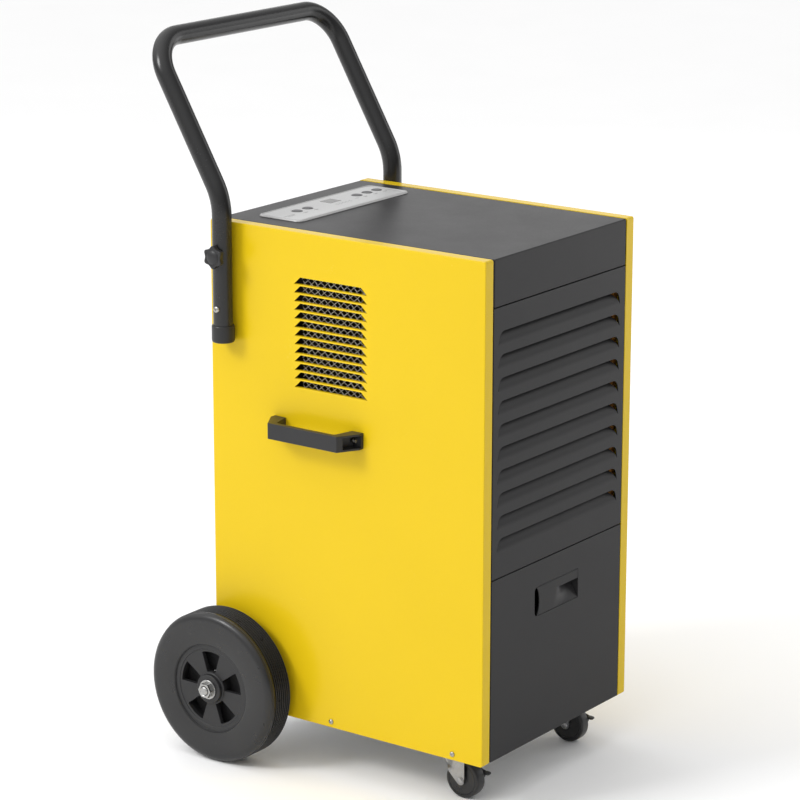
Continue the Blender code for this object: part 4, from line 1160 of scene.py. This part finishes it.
def caster(side, cx):
    def plate(bm):
        slab(bm, rounded(cx - 28, cx + 28, KING_Y - 28, KING_Y + 28, 5.0, 5), lambda u, v, h: (u, v, 67.2 + h), (0, 0, 1), 2.5, 0.5, 0.7,
             [circle(cx + a, KING_Y + b, 3.1, 20) for a in (-21, 21) for b in (-21, 21)])
        turn(bm, [(0, 52.8), (5.2, 52.8), (6.3, 53.4), (6.5, 54.2), (7.3, 54.5), (7.5, 56.2), (4.0, 56.4), (4.0, 60.8), (14.0, 61.4), (16.2, 62.6),
                  (17.0, 64.0), (17.0, 65.0), (0, 65.0)], "Z", (cx, KING_Y), 48, closed=False)
        for a in (-21, 21):
            for b in (-21, 21):
                r6 = lambda t: 4.6 / math.cos((t % (math.pi / 3)) - math.pi / 6)
                turn(bm, [(0, 60.9), (2.0, 60.9), (2.2, 61.2), (2.2, 61.7), (r6, 61.7), (r6, 64.3), (6.2, 64.3), (6.2, 64.65), (2.6, 64.65),
                          (2.6, 67.3), (0, 67.3)], "Z", (cx + a, KING_Y + b), 36, closed=False)
    piece(f"caster_plate_{side}_set", plate, "zinc", CABINET, (f"caster_plate_{side}",), sharp=40)

    def fork(bm):
        r, y0, z0 = 6.1, CW_Y, CW_Z
        slope_pt = Vector((-164.0, 57.0)) - Vector((y0, z0))
        dist = slope_pt.length
        ang = math.atan2(slope_pt.y, slope_pt.x) - math.acos(r / dist)
        tan_y, tan_z = y0 + r * math.cos(ang), z0 + r * math.sin(ang)

        def front(z):
            return y0 - (r if z >= z0 else math.sqrt(max(0.0, r * r - (z - z0) ** 2)))

        def rear(z):
            if z <= tan_z:
                return y0 + math.sqrt(max(0.0, r * r - (z - z0) ** 2))
            return tan_y + (-164.0 - tan_y) * (z - tan_z) / (57.0 - tan_z)
        zs = [z0 - r * math.cos(math.pi / 2 * k / 7) for k in range(1, 8)] + [z0 + 2.0 * k for k in range(1, 15)] + [55.5, 58.2, 60.0]
        cols = 22
        for sgn in (-1, 1):
            out, inn = [], []
            for z in zs:
                a, b = front(z), rear(min(z, 57.0))
                ro, ri = [], []
                for j in range(cols + 1):
                    y = a + (b - a) * j / cols
                    lean = 0.55 * max(0.0, y + 194.0)
                    if lean < 2.0:
                        lean = lean * lean / 4.0 + lean / 2.0
                    top = 2.0 * smooth01((z - 57.0) / 3.0)
                    x = 12.7 - min(lean, 8.0) * smooth01((z - 34.0) / 8.0) - top
                    ro.append((cx + sgn * x, y, z))
                    ri.append((cx + sgn * (x - 2.1), y, z))
                out.append(ro)
                inn.append(ri)
            grid_solid(bm, out, inn)
        turn(bm, [(4.4, 56.8), (19.0, 56.8), (20.6, 57.4), (21.0, 58.4), (21.0, 59.2), (20.2, 60.1), (18.0, 60.4), (15.0, 60.4), (14.0, 59.6),
                  (4.4, 59.6)], "Z", (cx, KING_Y), 56)
        turn(bm, [(0, cx - 15.4), (1.9, cx - 15.3), (2.3, cx - 15.1), (3.6, cx - 15.0), (4.3, cx - 14.5), (4.4, cx - 13.6), (5.4, cx - 13.5),
                  (5.5, cx - 12.9), (5.3, cx - 12.72), (3.0, cx - 12.6), (3.0, cx + 12.6),
                  (4.1, cx + 12.72), (4.1, cx + 12.8), (0, cx + 12.8)], "X", (CW_Y, CW_Z), 40, closed=False)
    piece(f"caster_fork_{side}_yoke", fork, "zinc", f"caster_{side}", (f"caster_fork_{side}",), sharp=50, weight=False)

    def wheel(bm):
        half = [(3.5, 8.9), (6.3, 8.9), (6.6, 8.6), (6.9, 8.1), (8.0, 8.0), (19.4, 8.2), (19.9, 7.7), (20.4, 7.7), (20.9, 8.4), (22.6, 8.4), (23.8, 8.0), (24.5, 7.2),
                (24.9, 6.0), (25.0, 4.6)]
        prof = [(r, cx - a) for r, a in half] + [(r, cx + a) for r, a in reversed(half)]
        turn(bm, prof, "X", (CW_Y, CW_Z), 72)
    piece(f"caster_wheel_{side}_tread", wheel, "tyre", f"caster_roller_{side}", (f"caster_wheel_{side}",), sharp=32, weight=False)

    def pedal(bm):
        arm = fillet([(-203.5, 40.5), (-206.0, 44.2), (-211.0, 44.0), (-220.0, 36.6), (-227.4, 34.4), (-227.4, 31.2), (-225.9, 30.2), (-224.5, 25.6),
                      (-222.0, 25.2), (-220.5, 30.2), (-207.0, 37.0)], [1.5, 1.5, 1.5, 2, 0.3, 0.3, 0.8, 0.8, 0.8, 1.2, 1.5], 3)
        slab(bm, arm, lambda u, v, h: (cx + 15.6 + h, u, v), (1, 0, 0), 2.5, 0.4, 0.4)
        n = 10
        top, low = [], []
        for i in range(n + 1):
            q = i / n
            y = -226.4 - 7.4 * q
            w = 4.3 * math.sqrt(max(0.05, 1 - max(0.0, (q - 0.55) / 0.5) ** 2))
            rt, rl = [], []
            for j in range(9):
                e = -1 + j / 4
                ridge = 0.25 * (1 if i % 2 else 0) * (1 if abs(e) < 0.9 else 0)
                zc = 34.6 - 0.7 * q - 0.6 * e * e
                rt.append((cx + 13.3 + w * e, y, zc + ridge))
                rl.append((cx + 13.3 + w * e, y, zc - 2.3 + 0.5 * q))
            top.append(rt)
            low.append(rl)
        grid_solid(bm, top, low)
        turn(bm, [(0, cx + 12.95), (3.1, cx + 12.95), (3.1, cx + 16.1), (2.4, cx + 16.6), (0, cx + 16.7)], "X", (-207.5, 40.5), 24, closed=False)
    piece(f"brake_pedal_{side}_lever", pedal, "pedal", f"brake_{side}", (f"brake_pedal_{side}",), sharp=45)


caster("left", -CX)
caster("right", CX)


# --------------------------------------------------------------- water tank
GRIP_X, STRIP_Z0, STRIP_Z1, CAV_Z0 = 49.0, 260.0, 272.0, 234.0


def tank_face(bm):
    def place(u, v, h):
        return (u, FRONT - h, v)
    outline = fillet([(-EDGE_L, 66.9), (EDGE_X, 66.9), (EDGE_X, 306.7), (-EDGE_L, 306.7)], 1.4, 3)
    hole = fillet([(-GRIP_X - 2.6, CAV_Z0 - 0.6), (GRIP_X, CAV_Z0 - 0.6), (GRIP_X, STRIP_Z1 + 0.7), (-GRIP_X - 2.6, STRIP_Z1 + 0.7)], [6.5, 1.2, 1.2, 6.5], 6)
    shell(bm, outline, place, (0, -1, 0), 0.8, 9.0, 1.3, [(hole, 0.3)], hem=0.3)
    # the frame behind the face, which carries the bucket
    for x0, x1, z0, z1 in ((-146, -143, 72, 290), (143, 146, 72, 290), (-146, 146, 72, 75), (-146, 146, 287, 290)):
        box(bm, x0, x1, -259.8, -225.6, z0, z1)


piece("tank_front_face", tank_face, "dark", TANK, ("tank_front",), sharp=40)


def finger_scoop(bm):
    """A sheet that is flush at its left, its top and its foot, and falls away to
    the right under the top strip, where the fingers go in."""
    n, m = 40, 18
    left = lambda z: -GRIP_X + 0.4 + 8.2 * max(0.0, math.sin(math.pi * max(0.0, min(1.0, (STRIP_Z1 + 1.0 - z) / 41.0)))) ** 0.55
    right_x = GRIP_X - 0.5
    rows_f, rows_b = [], []
    for i in range(9):
        z = STRIP_Z0 + (STRIP_Z1 - STRIP_Z0) * i / 8
        edge = 0.35 if i == 8 else 0.0
        a = left(z)
        rows_f.append([(a + (right_x - a) * j / n, FRONT + 0.25 + edge, z) for j in range(n + 1)])
        rows_b.append([(a + (right_x - a) * j / n, FRONT + 1.6, z) for j in range(n + 1)])
    grid_solid(bm, rows_f, rows_b)
    rows_f, rows_b = [], []
    for i in range(m + 1):
        q = i / m
        z = CAV_Z0 - 0.1 + (STRIP_Z0 - 0.02 - CAV_Z0 + 0.1) * q
        a = left(z)
        fr, bk = [], []
        for j in range(n + 1):
            e = j / n
            x = a + (right_x - a) * e
            d = 15.5 * q * smooth01((e - 0.44 + 0.10 * (1 - q)) / 0.50)
            fr.append((x, FRONT + 0.25 + d, z))
            bk.append((x, FRONT + 1.6 + d, z - 0.0))
        rows_f.append(fr)
        rows_b.append(bk)
    grid_solid(bm, rows_f, rows_b)


piece("tank_finger_scoop", finger_scoop, "dark", TANK, (), sharp=40)


def scoop_box(bm):
    """The closed housing behind the finger grip, open to the front."""
    x0, x1, z0, z1, y0, y1, w = -55.0, 52.0, 229.5, 275.0, FRONT + 1.4, -229.2, 1.6
    outer = [bm.verts.new((x, y0, z)) for x, z in ((x0, z0), (x1, z0), (x1, z1), (x0, z1))]
    outer_b = [bm.verts.new((x, y1, z)) for x, z in ((x0, z0), (x1, z0), (x1, z1), (x0, z1))]
    inner = [bm.verts.new((x, y0, z)) for x, z in ((x0 + w, z0 + w), (x1 - w, z0 + w), (x1 - w, z1 - w), (x0 + w, z1 - w))]
    inner_b = [bm.verts.new((x, y1 - w, z)) for x, z in ((x0 + w, z0 + w), (x1 - w, z0 + w), (x1 - w, z1 - w), (x0 + w, z1 - w))]
    join(bm, outer, outer_b)
    join(bm, outer, inner)
    join(bm, inner, inner_b)
    bm.faces.new(outer_b)
    bm.faces.new(inner_b)


piece("tank_grip_housing", scoop_box, "hub_back", TANK, (), bevel=0.5)


def bucket(bm):
    """A moulded tank with rounded corners and a rolled rim."""
    x, y0, y1, z0, z1, w = 140.0, -225.0, 4.0, 70.4, 289.5, 2.0
    def loop(inset, r):
        return ccw(fillet([(-x + inset, y0 + inset), (x - inset, y0 + inset), (x - inset, y1 - inset), (-x + inset, y1 - inset)], r, 6))
    levels = [(13.0, 3.0, z0), (7.0, 9.0, z0 + 0.3), (4.6, 11.4, z0 + 2.4), (3.6, 12.4, z0 + 6.0), (2.2, 13.8, z1 - 9.0), (2.2, 13.8, z1 - 6.0), (0.2, 15.8, z1 - 5.2),
              (0.0, 16.0, z1 - 4.2), (0.0, 16.0, z1 - 1.0), (0.6, 15.4, z1), (3.6, 12.4, z1), (4.2, 11.8, z1 - 0.8), (4.2, 11.8, z1 - 9.0), (5.6, 10.4, z0 + 7.0), (6.8, 9.2, z0 + 3.6),
              (9.2, 6.8, z0 + 2.2), (14.0, 2.6, z0 + 2.0)]
    rings = [ring(bm, loop(i, r), lambda u, v, h: (u, v, h), z) for i, r, z in levels]
    for a, b in zip(rings, rings[1:]):
        join(bm, a, b)
    fill(bm, [rings[0]], (0, 0, -1))
    fill(bm, [rings[-1]], (0, 0, 1))


piece("tank_bucket_moulding", bucket, "tank", TANK, ("tank_bucket",), sharp=50)


def float_arm(bm):
    fx, fy, fz = 82.0, -2.0, 258.0
    lathe(bm, [(0, fx - 10), (2.6, fx - 10), (2.6, fx + 10), (0, fx + 10)], [0, 0.5, 0.5, 0], "X", (fy, fz), 24, 3, closed=False)
    slab(bm, rounded(fx - 4.0, fx + 4.0, -34.0, -3.0, 2.5, 4), lambda u, v, h: (u, v, 259.4 + h), (0, 0, 1), 3.0, 0.5, 0.5)


piece("tank_float_arm", float_arm, "float", "float", ("tank_float",), sharp=40)


# ---------------------------------------------- inner pieces kept from the model
def keep(node, mat, bevel=0.0, weld=True):
    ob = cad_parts[node]
    ob.data.materials.clear()
    ob.data.materials.append(M[mat])
    if weld:
        w = ob.modifiers.new("weld", "WELD")
        w.merge_threshold = 0.00002
        d = ob.modifiers.new("flat", "DECIMATE")
        d.decimate_type, d.angle_limit = "DISSOLVE", math.radians(1.0)
    if bevel:
        b = ob.modifiers.new("edge", "BEVEL")
        b.width, b.segments, b.limit_method, b.angle_limit = bevel * MM, 2, "ANGLE", math.radians(35)
        b.harden_normals = True
    return ob


for node, mat, bevel in (
        ("base_pan", "galv", 0.4), ("air_filter", "foam", 1.0), ("evaporator_coil", "fins", 0.2), ("condenser_coil", "fins", 0.2),
        ("fan_shroud", "galv", 0.4), ("fan_motor", "enamel", 1.0), ("fan_rotor", "plastic", 0.4), ("drip_tray", "plastic", 0.4),
        ("drain_spout", "plastic", 0.3), ("tank_bay_partition", "galv", 0.2), ("compressor", "enamel", 1.2), ("discharge_pipe", "copper", 0.0),
        ("suction_pipe", "copper", 0.0), ("control_board", "board", 0.2)):
    keep(node, mat, bevel)


# --------------------------------------------------------------- floor and light
def stage():
    bm = bmesh.new()
    bmesh.ops.create_grid(bm, x_segments=2, y_segments=2, size=14.0)
    me = bpy.data.meshes.new("floor")
    bm.to_mesh(me)
    bm.free()
    s = Shade("studio_floor", specular=0.2)
    s.colour(s.blend(s.ramp(s.noise(3.0, 3.0), 0.3, 0.7), (0.95, 0.95, 0.95), (0.96, 0.96, 0.96)))
    s.rough(s.ramp(s.noise(8.0, 3.0), 0.3, 0.7, 0.7, 0.8))
    me.materials.append(s.m)
    ob = bpy.data.objects.new("floor", me)
    ob.location.z = -0.0006
    bpy.context.scene.collection.objects.link(ob)


stage()


def area_light(name, loc, target, size, power, size_y=None):
    ld = bpy.data.lights.new(name, "AREA")
    ld.energy, ld.size = power, size
    if size_y:
        ld.shape, ld.size_y = "RECTANGLE", size_y
    ob = bpy.data.objects.new(name, ld)
    ob.location = loc
    ob.rotation_mode = "QUATERNION"
    ob.rotation_quaternion = (Vector(target) - Vector(loc)).to_track_quat("-Z", "Y")
    bpy.context.scene.collection.objects.link(ob)
    return ob


world = bpy.data.worlds.new("studio")
bpy.context.scene.world = world
world.use_nodes = True
wt = world.node_tree
back = wt.nodes["Background"]
direction = wt.nodes.new("ShaderNodeTexCoord").outputs["Generated"]


def sky_ramp(axis, lo, hi, a, b):
    """A soft change of the sky's strength along one direction."""
    dot = wt.nodes.new("ShaderNodeVectorMath")
    dot.operation = "DOT_PRODUCT"
    wt.links.new(direction, dot.inputs[0])
    dot.inputs[1].default_value = axis
    n = wt.nodes.new("ShaderNodeMapRange")
    n.inputs["From Min"].default_value, n.inputs["From Max"].default_value = lo, hi
    n.inputs["To Min"].default_value, n.inputs["To Max"].default_value = a, b
    wt.links.new(dot.outputs["Value"], n.inputs["Value"])
    return n.outputs["Result"]


product = wt.nodes.new("ShaderNodeMath")
product.operation = "MULTIPLY"
wt.links.new(sky_ramp((0.0, 0.0, 1.0), -0.05, 1.0, 0.36, 2.22), product.inputs[0])
wt.links.new(sky_ramp((-0.75, 0.66, 0.0), -0.8, 0.8, 0.27, 0.98), product.inputs[1])
wt.links.new(product.outputs[0], back.inputs["Strength"])
back.inputs["Color"].default_value = (1.0, 1.0, 1.0, 1.0)

area_light("key_left", (-3.0, 1.6, 2.9), (-0.1, 0.0, 0.65), 1.1, 68.0)
area_light("right_card", (3.0, -1.5, 1.35), (0.0, -0.26, 0.55), 1.7, 20.0, 2.7)
area_light("back_card", (3.3, 2.5, 1.7), (0.0, 0.0, 0.6), 3.2, 9.0, 1.5)

view = bpy.context.scene.view_settings
view.view_transform = "Standard"
view.look = "None"
view.exposure = 0.0
view.gamma = 1.0
